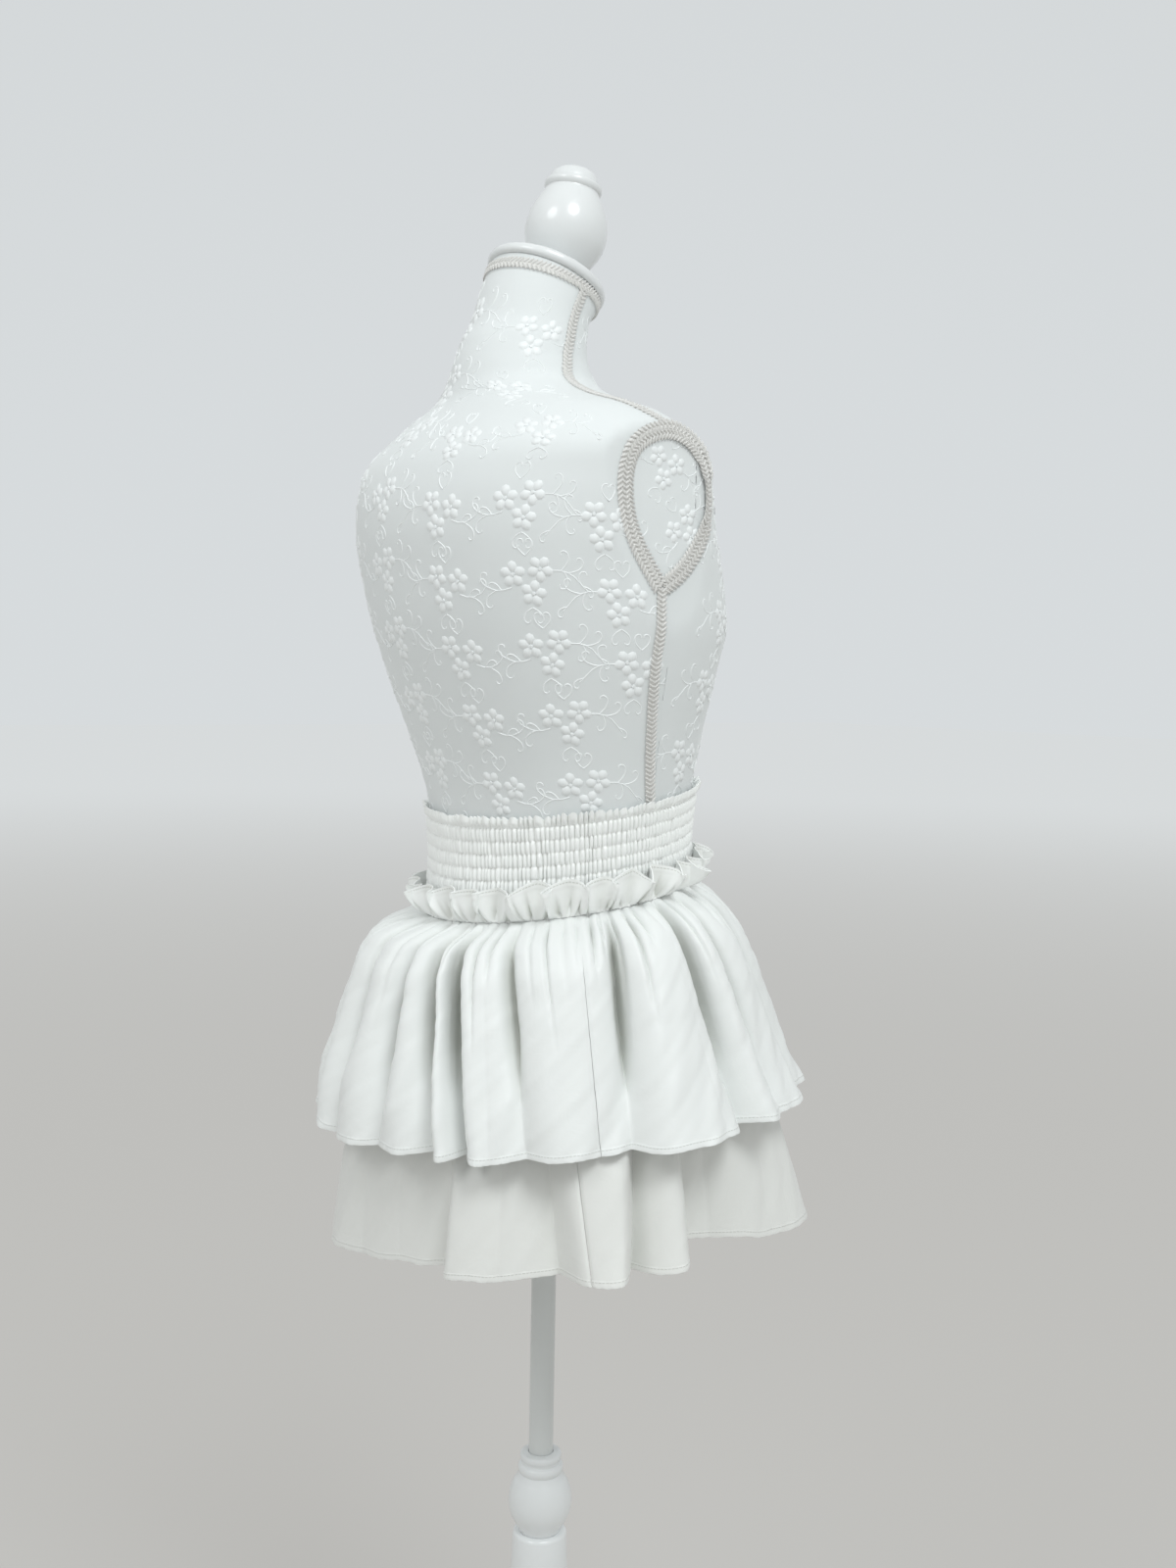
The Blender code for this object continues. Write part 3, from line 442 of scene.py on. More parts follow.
NARROW = ((0.0021, 52), (-0.0021, -52))
BROAD = ((0.0046, 128), (0.0016, 52), (-0.0016, -52), (-0.0046, -128))
points, faces = [], []
turns = np.linspace(0, 360, 121)
heights = np.full(121, NECK_BRAID_Z)
gimp(skin(turns, heights), skin_steps(turns, heights)[2], NARROW, points, faces)
for mirror in (False, True):
    for seam in (SIDE_SEAM, NECK_SEAM):
        heights = np.linspace(seam[0][0], seam[-1][0], 60)
        turns = read_table(seam, heights, 1)
        if mirror:
            turns = 180.0 - turns
        gimp(skin(turns, heights), skin_steps(turns, heights)[2], NARROW, points, faces)
    # the armhole, a drop with its point at the side seam
    place = np.linspace(0, 1, 140)
    turns = read_table(ARMHOLE, place, 1)
    heights = read_table(ARMHOLE, place, 2)
    away = turns - read_table(ARMHOLE, place, 3)
    if mirror:
        turns, away = 180.0 - turns, 180.0 - away
    normals = skin_steps(turns, heights)[2] + skin_steps(away, heights)[2] * 0.8
    gimp(skin(turns, heights), normals / np.linalg.norm(normals, axis=1)[:, None],
         BROAD, points, faces)
braid = mesh_piece("seam_braid", points, faces, None, 70)
gimp_thread, nodes, links, shader = new_material("gimp_thread")
put(shader, {"Roughness": 0.42, "Sheen Weight": 0.35})
strand, tone = nodes.new("ShaderNodeTexNoise"), nodes.new("ShaderNodeValToRGB")
place = nodes.new("ShaderNodeTexCoord")
put(strand, {"Scale": 900.0})
two_shades(tone, BRAID_COLOUR, 0.72, 1.22)
links.new(place.outputs["Object"], strand.inputs["Vector"])
links.new(strand.outputs["Fac"], tone.inputs["Fac"])
links.new(tone.outputs["Color"], shader.inputs["Base Color"])
braid.data.materials.append(gimp_thread)
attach(braid, "root")

# ------------------------------------------------------------------ neck cap and finial
# Turned hardwood under several coats of white gloss: a flat cap on the neck's slanting
# top, and on it an egg-shaped finial with a collar and a small dome.
NECK_LEAN, FINIAL_LEAN = math.radians(22.0), math.radians(10.0)
NECK_TOP_Y, SEAT, FINIAL_FORWARD, FINIAL_HEEL = 0.0150, 0.0003, 0.009, 0.0170
CAP_PROFILE = ((0.0, 0.0440), (0.0004, 0.0462), (0.0016, 0.0474), (0.0030, 0.0478),
               (0.0052, 0.0478), (0.0066, 0.0472), (0.0078, 0.0460), (0.0083, 0.0448),
               (0.0085, 0.0436), (0.0092, 0.0428), (0.0094, 0.0415), (0.0094, 0.0240))
FINIAL_PROFILE = ((0.0000, 0.0150), (0.0002, 0.0180), (0.0014, 0.0202), (0.0032, 0.0208),
                  (0.0052, 0.0206), (0.0064, 0.0201), (0.0070, 0.0201), (0.0105, 0.0232),
                  (0.0152, 0.0264), (0.0199, 0.0290), (0.0246, 0.0309), (0.0299, 0.0320),
                  (0.0352, 0.0324), (0.0411, 0.0319), (0.0470, 0.0306), (0.0529, 0.0284),
                  (0.0588, 0.0256), (0.0635, 0.0229), (0.0663, 0.0213), (0.0670, 0.0212),
                  (0.0678, 0.0218), (0.0690, 0.0226), (0.0708, 0.0229), (0.0726, 0.0226),
                  (0.0738, 0.0216), (0.0742, 0.0200), (0.0756, 0.0196), (0.0785, 0.0188),
                  (0.0812, 0.0170), (0.0835, 0.0142), (0.0852, 0.0105), (0.0862, 0.0062),
                  (0.0865, 0.0020))
GLOSS_COLOUR = (0.790, 0.810, 0.812, 1)


def turned_piece(name, profile, sides=96, hole=None):
    """Turning as on a lathe: a ring is extruded and scaled from row to row, upwards."""
    bpy.ops.object.select_all(action="DESELECT")
    rows = list(profile) if profile[0][0] < profile[-1][0] else list(profile)[::-1]
    height, radius = rows[0]
    bpy.ops.mesh.primitive_circle_add(vertices=sides, radius=radius, location=(0, 0, height),
                                      fill_type="NGON" if hole is None else "NOTHING")
    piece = bpy.context.object
    piece.name = name
    bpy.ops.object.transform_apply(location=True, rotation=True, scale=True)
    bpy.ops.object.mode_set(mode="EDIT")
    bpy.ops.mesh.select_mode(type="EDGE")
    bpy.ops.mesh.select_all(action="SELECT")
    if hole is not None:            # the bore's wall goes up last, from the top row down
        rows = rows + [(rows[-1][0], hole), (rows[0][0], hole), rows[0]]
    before = rows[0]
    for row in rows[1:]:
        bpy.ops.mesh.extrude_edges_move(
            TRANSFORM_OT_translate={"value": (0, 0, row[0] - before[0])})
        share = row[1] / before[1]
        bpy.ops.transform.resize(value=(share, share, 1), center_override=(0, 0, row[0]))
        before = row
    if hole is None:
        bpy.ops.mesh.edge_face_add()
    bpy.ops.mesh.select_all(action="SELECT")
    bpy.ops.mesh.remove_doubles(threshold=0.00001)
    bpy.ops.mesh.normals_make_consistent(inside=False)
    bpy.ops.object.mode_set(mode="OBJECT")
    bpy.ops.object.shade_smooth_by_angle(angle=math.radians(38))
    return piece


def lean_piece(piece, lean, foot):
    """Leans a turned piece forward and sets its foot on what carries it."""
    piece.rotation_euler = (lean, 0, 0)
    piece.location = foot
    bpy.ops.object.transform_apply(location=True, rotation=True, scale=True)


def gloss_paint(name, colour, rough, coat):
    """Sprayed gloss paint with a faint orange-peel and a slightly uneven tone."""
    mat, nodes, links, shader = new_material(name)
    put(shader, {"Roughness": rough, "Coat Weight": coat, "Coat Roughness": 0.08})
    place, peel, tone = (nodes.new("ShaderNodeTexCoord"), nodes.new("ShaderNodeTexNoise"),
                         nodes.new("ShaderNodeTexNoise"))
    put(peel, {"Scale": 420.0})
    put(tone, {"Scale": 22.0})
    ramp, bump = nodes.new("ShaderNodeValToRGB"), nodes.new("ShaderNodeBump")
    two_shades(ramp, colour, 0.965, 1.02)
    put(bump, {"Strength": 0.05, "Distance": 0.0003})
    for noise in (peel, tone):
        links.new(place.outputs["Object"], noise.inputs["Vector"])
    links.new(tone.outputs["Fac"], ramp.inputs["Fac"])
    links.new(ramp.outputs["Color"], shader.inputs["Base Color"])
    links.new(peel.outputs["Fac"], bump.inputs["Height"])
    links.new(bump.outputs["Normal"], shader.inputs["Normal"])
    return mat


turned_gloss = gloss_paint("white_gloss", GLOSS_COLOUR, 0.28, 0.6)
cap_up = Vector((0.0, -math.sin(NECK_LEAN), math.cos(NECK_LEAN)))
cap_foot = Vector((0.0, NECK_TOP_Y, NECK_TOP)) + cap_up * SEAT
cap = turned_piece("turned_neck_cap", CAP_PROFILE)
lean_piece(cap, NECK_LEAN, cap_foot)
lift = CAP_PROFILE[-1][0] + SEAT + FINIAL_HEEL * math.sin(NECK_LEAN - FINIAL_LEAN)
cap_back = Vector((0, math.cos(NECK_LEAN), math.sin(NECK_LEAN)))
finial = turned_piece("turned_finial", FINIAL_PROFILE)
lean_piece(finial, FINIAL_LEAN, cap_foot + cap_up * lift - cap_back * FINIAL_FORWARD)
for piece, node in ((cap, "neck_cap"), (finial, "finial")):
    piece.data.materials.append(turned_gloss)
    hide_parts(node)
    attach(piece, "root")

# ------------------------------------------------------------------ stand
# A white steel tube slides down into a turned collar and column, drilled to take it,
# on a round weighted plinth.
BALL_PROFILE = ((0.5160, 0.0128), (0.5158, 0.0150), (0.5150, 0.0164), (0.5136, 0.0170),
                (0.5118, 0.0170), (0.5104, 0.0165), (0.5096, 0.0158), (0.5080, 0.0156),
                (0.5072, 0.0158), (0.5064, 0.0172), (0.5052, 0.0182), (0.5034, 0.0186),
                (0.5014, 0.0185), (0.5000, 0.0178), (0.4990, 0.0174), (0.4980, 0.0177),
                (0.4940, 0.0207), (0.4900, 0.0231), (0.4850, 0.0250), (0.4800, 0.0260),
                (0.4740, 0.0263), (0.4680, 0.0255), (0.4630, 0.0238), (0.4580, 0.0212),
                (0.4545, 0.0190), (0.4520, 0.0178), (0.4503, 0.0172))
COLUMN_PROFILE = ((0.4500, 0.0195), (0.4496, 0.0207), (0.4484, 0.0218), (0.4468, 0.0223),
                  (0.4300, 0.0230), (0.3700, 0.0258), (0.3000, 0.0290), (0.2000, 0.0335),
                  (0.0900, 0.0385), (0.0780, 0.0391), (0.0745, 0.0390), (0.0725, 0.0398),
                  (0.0700, 0.0432), (0.0665, 0.0459), (0.0620, 0.0470), (0.0575, 0.0470),
                  (0.0540, 0.0458), (0.0505, 0.0440), (0.0480, 0.0435), (0.0450, 0.0444),
                  (0.0390, 0.0490), (0.0340, 0.0528), (0.0290, 0.0558), (0.0265, 0.0570),
                  (0.0240, 0.0580), (0.0223, 0.0580))
BASE_PROFILE = ((0.0220, 0.0700), (0.0220, 0.1530), (0.0217, 0.1550), (0.0205, 0.1600),
                (0.0195, 0.1625), (0.0190, 0.1650), (0.0178, 0.1672), (0.0158, 0.1690),
                (0.0135, 0.1699), (0.0110, 0.1700), (0.0060, 0.1700), (0.0040, 0.1697),
                (0.0015, 0.1675), (0.0, 0.1650))
POLE_PROFILE = ((0.3000, 0.0088), (0.3008, 0.0097), (0.3020, 0.0100),
                (0.8730, 0.0100), (0.8742, 0.0097), (0.8750, 0.0088))
STEEL_COLOUR = (0.680, 0.700, 0.690, 1)
ball = turned_piece("turned_stand_ball", BALL_PROFILE, hole=SOCKET_R)
column = turned_piece("turned_stand_column", COLUMN_PROFILE, hole=SOCKET_R)
plinth = turned_piece("turned_plinth", BASE_PROFILE, sides=128)
tube = turned_piece("steel_pole", POLE_PROFILE, sides=64)
for piece, node in ((ball, "stand_ball"), (column, "stand_column"), (plinth, "stand_base")):
    piece.data.materials.append(turned_gloss)
    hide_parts(node)
    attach(piece, "root")
tube.data.materials.append(gloss_paint("white_steel", STEEL_COLOUR, 0.30, 0.3))
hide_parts("pole")
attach(tube, "root")

# ------------------------------------------------------------------ waistband
# One tube of the ivory cloth, shirred by six rows of elastic thread on its inside, so
# that it stands in narrow puffs between them, with its hemmed edge left as a little frill.
SATIN_COLOUR = (0.838, 0.858, 0.846, 1)
BAND_TOP = (1.0582, -0.012, -0.165)      # height at the pole, slope along x, along y
WAIST_SEAM = (0.9782, -0.066, -0.180)
NEAR_TOP, NEAR_SEAM, ROUNDS = 1.05, 0.975, 8     # where a search starts, and its rounds
EASE, BAND_CLOTH, CLOTH, GAP = 0.0005, 0.0012, 0.0011, 0.0003
# puffs between the threads, and waves of the band's own frill above the first thread
PLEATS, PLEAT_STEPS, PUFF, PUFF_END = 184, 8, 0.0032, 0.0720
AT_THREAD, DRAWN_IN, THREAD_HALF = 0.62, 0.38, 0.0004
LOBES, FRILL_END, FRILL_OUT, FRILL_RISE, EDGE_PUFF = 128, 0.0080, 0.0040, 0.0034, 0.0004
FIRST_ROW, ROW_STEP, BAND_DEEP = 0.0085, 0.010, 0.0800
THREAD_ROWS = (FIRST_ROW, 0.0185, 0.0285, 0.0385, 0.0485, 0.0585)
BAND_LAP, WALL_IN = 0.0060, 0.0009


def plane_z(plane, x, y):
    return plane[0] + plane[1] * x + plane[2] * y


def form_point(angle, z, out=0.0):
    """A point of the form's skin below the bust, moved out by a distance."""
    a = np.radians(angle)
    half_w = read_table(FORM_SECTIONS, z, 2) + out
    half_d = read_table(FORM_SECTIONS, z, 3) + out
    return half_w * np.cos(a), read_table(FORM_SECTIONS, z, 1) + half_d * np.sin(a)


def height_on(plane, angle, start):
    """The height where the form's skin meets a sloping plane."""
    z = np.full(np.shape(angle), start, float)
    for _ in range(ROUNDS):
        z = plane_z(plane, *form_point(angle, z))
    return z


def rough_line(x, seed, waves):
    """A smooth uneven line round the body, the same each run, from -1 to 1."""
    dice = np.random.default_rng(seed)
    total = np.zeros(np.shape(x))
    for wave in waves:
        total = total + (dice.uniform(0.5, 1.0)
                         * np.sin(np.radians(x * wave) + dice.uniform(0, 6.28)))
    return total / (0.75 * len(waves) ** 0.5 * 1.6)


def cloth_normals(grid, closed):
    along = (np.roll(grid, -1, 1) - np.roll(grid, 1, 1)) if closed else np.gradient(grid, axis=1)
    normals = np.cross(np.gradient(grid, axis=0), along)
    return normals / np.linalg.norm(normals, axis=2)[:, :, None]


def cloth_piece(name, outer, inner, closed, hem_at=None, smooth=70, deep=None):
    """A closed wall of cloth between two grids, top row first, running anticlockwise.
    Its UV runs along the cut, and up from the hem, in metres. deep says from 0 to 1 how far down
    in a gather each point of the outer grid lies; it is kept as the point attribute deep, by
    which the satin paints shade into the gathers."""
    rows, count = outer.shape[:2]
    low = outer[-1] if hem_at is None else outer[hem_at]
    u = np.concatenate(([0], np.cumsum(np.linalg.norm(np.diff(low, axis=0), axis=1))))
    down = np.linalg.norm(np.diff(outer, axis=0), axis=2).mean(axis=1)
    v = np.concatenate((np.cumsum(down[::-1])[::-1], [0.0]))
    inner_v = np.linspace(v[0], 0.0, len(inner))
    uvs = [np.stack((u, np.full(count, h)), 1) for h in list(v) + list(inner_v[::-1])]
    points = np.concatenate((outer.reshape(-1, 3), inner[::-1].reshape(-1, 3)))
    total = rows + len(inner)
    faces = grid_faces(total, count, closed)
    first, last = 0, (total - 1) * count
    for j in range(count if closed else count - 1):
        n = (j + 1) % count
        faces.append((last + j, first + j, first + n, last + n))
    if not closed:                      # the two side edges, between grids of equal rows
        for j in (0, count - 1):
            for k in range(rows - 1):
                near, far = k * count + j, (total - 1 - k) * count + j
                face = (near, far, far - count, near + count)
                faces.append(face if j == 0 else face[::-1])
    piece = mesh_piece(name, points, faces, np.concatenate(uvs), smooth)
    if deep is not None:
        # the deep mask goes onto the mesh as a point attribute, for the satin's painted shade
        layer = piece.data.attributes.new(name="deep", type="FLOAT", domain="POINT")
        layer.data.foreach_set("value", np.concatenate(
            (np.clip(deep, 0, 1).ravel(), np.zeros(inner.shape[0] * count))))
    return piece


def satin_material(name, stitches=(), tone=0.014, colour=SATIN_COLOUR):
    """Ivory satin-faced cloth, painted darker down in gathers and creases as shade, where the
    point attribute deep says so. A stitch row is (height above the hem, width), and its dents
    are painted darker too, as shade.
    """
    mat = cloth_material(name, colour, 0.22, 7000, 0.10, tone, 0.44)
    nodes, links = mat.node_tree.nodes, mat.node_tree.links
    place, bump = nodes["Texture Coordinate"], nodes[mat["bump"]]
    crease = nodes.new("ShaderNodeTexNoise")
    put(crease, {"Scale": 34.0, "Detail": 4.0, "Distortion": 0.8})
    links.new(place.outputs["Object"], crease.inputs["Vector"])
    soft = nodes.new("ShaderNodeBump")
    put(soft, {"Strength": 0.22, "Distance": 0.003})
    links.new(crease.outputs["Fac"], soft.inputs["Height"])
    links.new(soft.outputs["Normal"], bump.inputs["Normal"])
    shader = nodes["Principled BSDF"]
    # painted shade: the satin's colour is multiplied towards warm grey by the point attribute
    # deep, darker down in gathers and creases
    crease_shade_mask, fold = nodes.new("ShaderNodeAttribute"), nodes.new("ShaderNodeMix")
    crease_shade_mask.attribute_name = "deep"
    fold.data_type, fold.blend_type = "RGBA", "MULTIPLY"
    put(fold, {7: (0.78, 0.78, 0.75, 1)})
    links.new(crease_shade_mask.outputs["Fac"], fold.inputs[0])
    links.new(nodes["Color Ramp"].outputs["Color"], fold.inputs[6])
    links.new(fold.outputs[2], shader.inputs["Base Color"])
    if stitches:
        def sum_of(operation, source, values):
            """A math node on one output, with its other numbers given."""
            node = nodes.new("ShaderNodeMath")
            node.operation = operation
            put(node, values)
            links.new(source, node.inputs[0])
            return node

        apart = nodes.new("ShaderNodeSeparateXYZ")
        links.new(place.outputs["UV"], apart.inputs["Vector"])
        dash = sum_of("PINGPONG", apart.outputs["X"], {1: 0.00135})
        gap = sum_of("GREATER_THAN", dash.outputs["Value"], {1: 0.00035})
        height, wide = stitches
        near = sum_of("COMPARE", apart.outputs["Y"], {1: height, 2: wide})
        last = sum_of("MULTIPLY", near.outputs["Value"], {})
        links.new(gap.outputs["Value"], last.inputs[1])
        pit = nodes.new("ShaderNodeBump")
        pit.invert = True
        put(pit, {"Strength": 0.8, "Distance": 0.0005})
        links.new(last.outputs["Value"], pit.inputs["Height"])
        links.new(bump.outputs["Normal"], pit.inputs["Normal"])
        links.new(pit.outputs["Normal"], shader.inputs["Normal"])
        # painted shade: besides the dent, the stitch dashes are darkened, as shade in the stitch
        # pits
        painted_stitch_shade = nodes.new("ShaderNodeMix")
        painted_stitch_shade.data_type, painted_stitch_shade.blend_type = "RGBA", "MULTIPLY"
        put(painted_stitch_shade, {7: (0.80, 0.80, 0.78, 1)})
        links.new(last.outputs["Value"], painted_stitch_shade.inputs[0])
        links.new(fold.outputs[2], painted_stitch_shade.inputs[6])
        links.new(painted_stitch_shade.outputs[2], shader.inputs["Base Color"])
    return mat


COUNT = PLEATS * PLEAT_STEPS
angles = np.arange(COUNT) * 360.0 / COUNT
top_z, seam_z = (height_on(BAND_TOP, angles, NEAR_TOP),
                 height_on(WAIST_SEAM, angles, NEAR_SEAM))
depths = [0.0, 0.0006, 0.0018, 0.0034, 0.0050, 0.0064, 0.0075]
for row in THREAD_ROWS:
    depths += [row - THREAD_HALF, row + THREAD_HALF]
    if row < THREAD_ROWS[-1]:
        depths += [row + d for d in (0.0014, 0.0030, 0.0050, 0.0070, 0.0086)]
depths += [0.0600, 0.0635, 0.0670, 0.0700]
uneven = rough_line(angles, 3, (5, 9, 14, 23, 31))
outer, deep = [], []
for depth in depths:
    z = top_z - depth * (top_z - seam_z) / BAND_DEEP
    between = min(abs(depth - row) for row in THREAD_ROWS)
    tall = np.clip(AT_THREAD + between / (ROW_STEP / 2), 0, 1) if depth > FRILL_END else 1.0
    row_number = int(np.clip((depth - FIRST_ROW) // ROW_STEP, -1, 6))
    drift = (rough_line(angles, 40 + row_number, (7, 17, 29, 43)) * 0.24
             + rough_line(angles, 39, (11, 23, 41)) * 0.35)
    phase = (angles / 360.0 * PLEATS + drift) % 1.0
    ridge = 1.0 - np.abs(2 * phase - 1.0) ** 2.5
    if depth <= FIRST_ROW:              # the frill: wider waves that flare a little
        free = 1.0 - depth / FIRST_ROW
        lobe = (angles / 360.0 * LOBES + 0.5 * uneven
                + 0.4 * rough_line(angles, 12, (17, 31))) % 1.0
        wave = 1.0 - np.abs(2 * lobe - 1.0) ** 2.0
        rise = min(1.0, free * 2.4)
        out = EDGE_PUFF * ridge + rise * (FRILL_OUT * wave - EDGE_PUFF) + free * 0.0014 * uneven
        z = z + free * (FRILL_RISE * (wave - 0.6) + 0.0012 * uneven)
    else:
        lump = rough_line(angles, 70 + row_number, (37, 53, 71, 97)) * 0.22 + 0.95
        fade = np.clip((PUFF_END - depth) / ROW_STEP, 0.25, 1.0)
        out = PUFF * (0.95 * ridge * lump * tall + 0.10 * tall - 0.06) * fade
    # painted shade mask: deep is larger at the thread rows and in the valleys between puffs and
    # frill waves, where the satin is darkened
    thread = 0.55 * (1.0 - tall) / DRAWN_IN
    deep.append(thread + 1.4 * (0.45 - (wave if depth <= FRILL_END else ridge)))
    x, y = form_point(angles, z, EASE + BAND_CLOTH)
    a = np.radians(angles)
    outer.append(np.stack((x + out * np.cos(a), y + out * np.sin(a), z), 1))
for z in (seam_z + 0.004, seam_z - BAND_LAP):
    outer.append(np.stack((*form_point(angles, z, EASE + BAND_CLOTH), z), 1))
    deep.append(np.zeros(COUNT))
# behind the frill the wall follows it, and lower down it lies on the form
inner = [row - np.stack((np.cos(a), np.sin(a), 0 * a), 1) * WALL_IN for row in outer[:6]]
for share in (0.11, 0.3, 0.5, 0.75, 1.0):
    z = outer[0][:, 2] * (1 - share) + outer[-1][:, 2] * share
    inner.append(np.stack((*form_point(angles, z, EASE), z), 1))
band = cloth_piece("shirred_waistband", np.array(outer), np.array(inner), True, smooth=80,
                   deep=np.array(deep))
# painted light: the band's copy of the satin is lighter than the tiers' cloth
band.data.materials.append(satin_material("band_satin_painted_light", (), 0.010, (0.950, 0.966, 0.952, 1)))
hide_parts("waistband")
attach(band, "root")

# ------------------------------------------------------------------ header frill
# A strip of the same cloth with a narrow stitched hem, gathered along its lower edge
# and sewn in over the waist seam, so that it stands up in boxy waves round the waist.
HEADER_WAVES, HEADER_STEPS, HEADER_HIGH = 28, 30, 0.0250
HEADER_VALLEY, HEADER_RIDGE = 0.0030, 0.0170
HEADER_CURL, HEADER_PUFF, HEADER_RIPPLE = 0.0075, 0.0030, 0.0012
HEADER_HEM, HEADER_HEM_OUT, FRILL_WALL = 0.83, 0.0003, 0.0008
UPRIGHT_AT, LEAN_ARM = 145.0, 0.12       # it slumps a quarter turn away from there
PINCHES, PINCH_FULL_SHADE = 112, 0.0040
STACK_OUT = EASE + BAND_CLOTH + GAP


def gathered(angle, t, lines):
    """How far the gathers draw the cloth in, at the seam angle and depth. The small
    ones start at the seam; those with a last column above 0 are deepest further down."""
    apart = (angle[:, None] - lines[None, :, 0] + 180.0) % 360.0 - 180.0
    groove = np.exp(-np.abs(apart / lines[None, :, 1]) ** 1.35)
    fade = np.clip(1 - t / lines[:, 3], 0, 1) ** 1.2 * min(1.0, 0.20 + t / 0.05)
    rise, fall = np.clip(t / 0.20, 0, 1), np.clip((t - 0.42) / (lines[:, 3] - 0.42), 0, 1)
    wedge = ((0.30 + 0.70 * rise ** 2 * (3 - 2 * rise)) * (1 - fall ** 2 * (3 - 2 * fall))
             * min(1, t / 0.03))
    fade = np.where(lines[:, 4] > 0, wedge, fade)
    return -(groove * (lines[:, 2] * fade)[None, :]).sum(axis=1)


COUNT = HEADER_WAVES * HEADER_STEPS
angles = np.arange(COUNT) * 360.0 / COUNT
place = angles / 360.0 * HEADER_WAVES
place = place + 0.25 * rough_line(angles, 11, (3, 7, 11, 16))
phase = place % 1.0
box = (0.5 - 0.5 * np.cos(2 * np.pi * phase)) ** 0.75
tilted = box * (1.0 + 0.10 * np.sin(np.radians(angles * 17)))
sizes = np.random.default_rng(5).uniform(0.50, 1.30, HEADER_WAVES)
each = sizes[np.floor(place).astype(int) % HEADER_WAVES]
uneven = np.sin(np.radians(angles * 5 + 40)) * np.sin(np.radians(angles * 3))
slump = 0.5 - 0.5 * np.cos(np.radians(2 * (angles - UPRIGHT_AT)))
ripple = rough_line(angles, 17, (31, 43, 67))
seam_z = height_on(WAIST_SEAM, angles, NEAR_SEAM)
x, y = form_point(angles, seam_z, STACK_OUT + CLOTH)
a = np.radians(angles)
dice = np.random.default_rng(6)
pinches = np.stack(((np.arange(PINCHES) + dice.uniform(-0.4, 0.4, PINCHES)) * 360 / PINCHES,
                    dice.uniform(0.40, 0.75, PINCHES), dice.uniform(0.0036, 0.0100, PINCHES),
                    dice.uniform(0.20, 0.62, PINCHES), np.zeros(PINCHES)), 1)
rows, tuck_shade = [], []
for share in (1.0, 0.985, 0.93, 0.87, 0.845, 0.82, 0.75, 0.65, 0.55, 0.44, 0.33, 0.23,
              0.14, 0.07, 0.0):
    flare = share ** 0.62
    high = 1.0 - 0.10 * uneven - 0.22 * slump + 0.05 * (each - 0.9) * share
    z = (seam_z + GAP / 2 + HEADER_HIGH * share * high
         - HEADER_CURL * share ** 2 * (tilted * each - 0.60)
         + HEADER_RIPPLE * ripple * share ** 2)
    reach = (HEADER_VALLEY + (HEADER_RIDGE - HEADER_VALLEY) * tilted * each
             * (0.90 + 0.20 * uneven)) * flare * (1.0 + 0.40 * slump)
    fine = (gathered(angles, 0.5 * share, pinches)
            + 0.0006 * rough_line(angles, 14, (61, 89, 113))) * min(1.0, share / 0.06)
    tuck_shade.append(-fine / PINCH_FULL_SHADE)
    puff = HEADER_PUFF * math.sin(math.pi * share) * box + HEADER_RIPPLE * ripple * share
    edge = HEADER_HEM_OUT if share > HEADER_HEM else 0.0
    lean = (3.2 * np.sin(2 * np.pi * phase + 0.3) + 1.2 * ripple) * share ** 0.7
    out = reach + fine + puff + edge
    rows.append(np.stack((x + out * np.cos(a) - np.sin(a) * np.radians(lean) * LEAN_ARM,
                          y + out * np.sin(a) + np.cos(a) * np.radians(lean) * LEAN_ARM, z), 1))
outer = np.array(rows)
n = cloth_normals(outer, True)
n[-1, :, 2] = 0.0
n[-1] /= np.linalg.norm(n[-1], axis=1)[:, None]
# painted shade mask: sunk darkens the satin between the boxy waves and in the pinched tucks
sunk = np.maximum(np.clip(0.55 - 1.5 * box, 0, 1)[None, :] * 0.8, np.array(tuck_shade) - 0.1)
frill = cloth_piece("header_ruffle", outer, outer - n * FRILL_WALL, True, hem_at=0, deep=sunk)
# painted light: the frill's copy of the satin is lighter than the tiers' cloth
frill.data.materials.append(
    satin_material("frill_satin_painted_light", (0.0265, 0.00035), 0.014, (0.945, 0.961, 0.947, 1)))
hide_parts("header_frill")
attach(frill, "root")

# ------------------------------------------------------------------ upper tier
# Two straight-cut panels joined at the sides, gathered to the waistband under the
# ruffle, with a narrow turned hem. The gathers run out into broad folds.
# share of the tier's depth, flare at the back, flare at the front, fold share
UPPER_FLARE = (
    (0.00, 0.0000, 0.0000, 0.00),
    (0.07, 0.0310, 0.0165, 0.30),
    (0.17, 0.0460, 0.0300, 0.46),
    (0.34, 0.0560, 0.0430, 0.58),
    (0.56, 0.0680, 0.0540, 0.68),
    (0.79, 0.0800, 0.0650, 0.86),
    (1.00, 0.0850, 0.0800, 1.00),
)
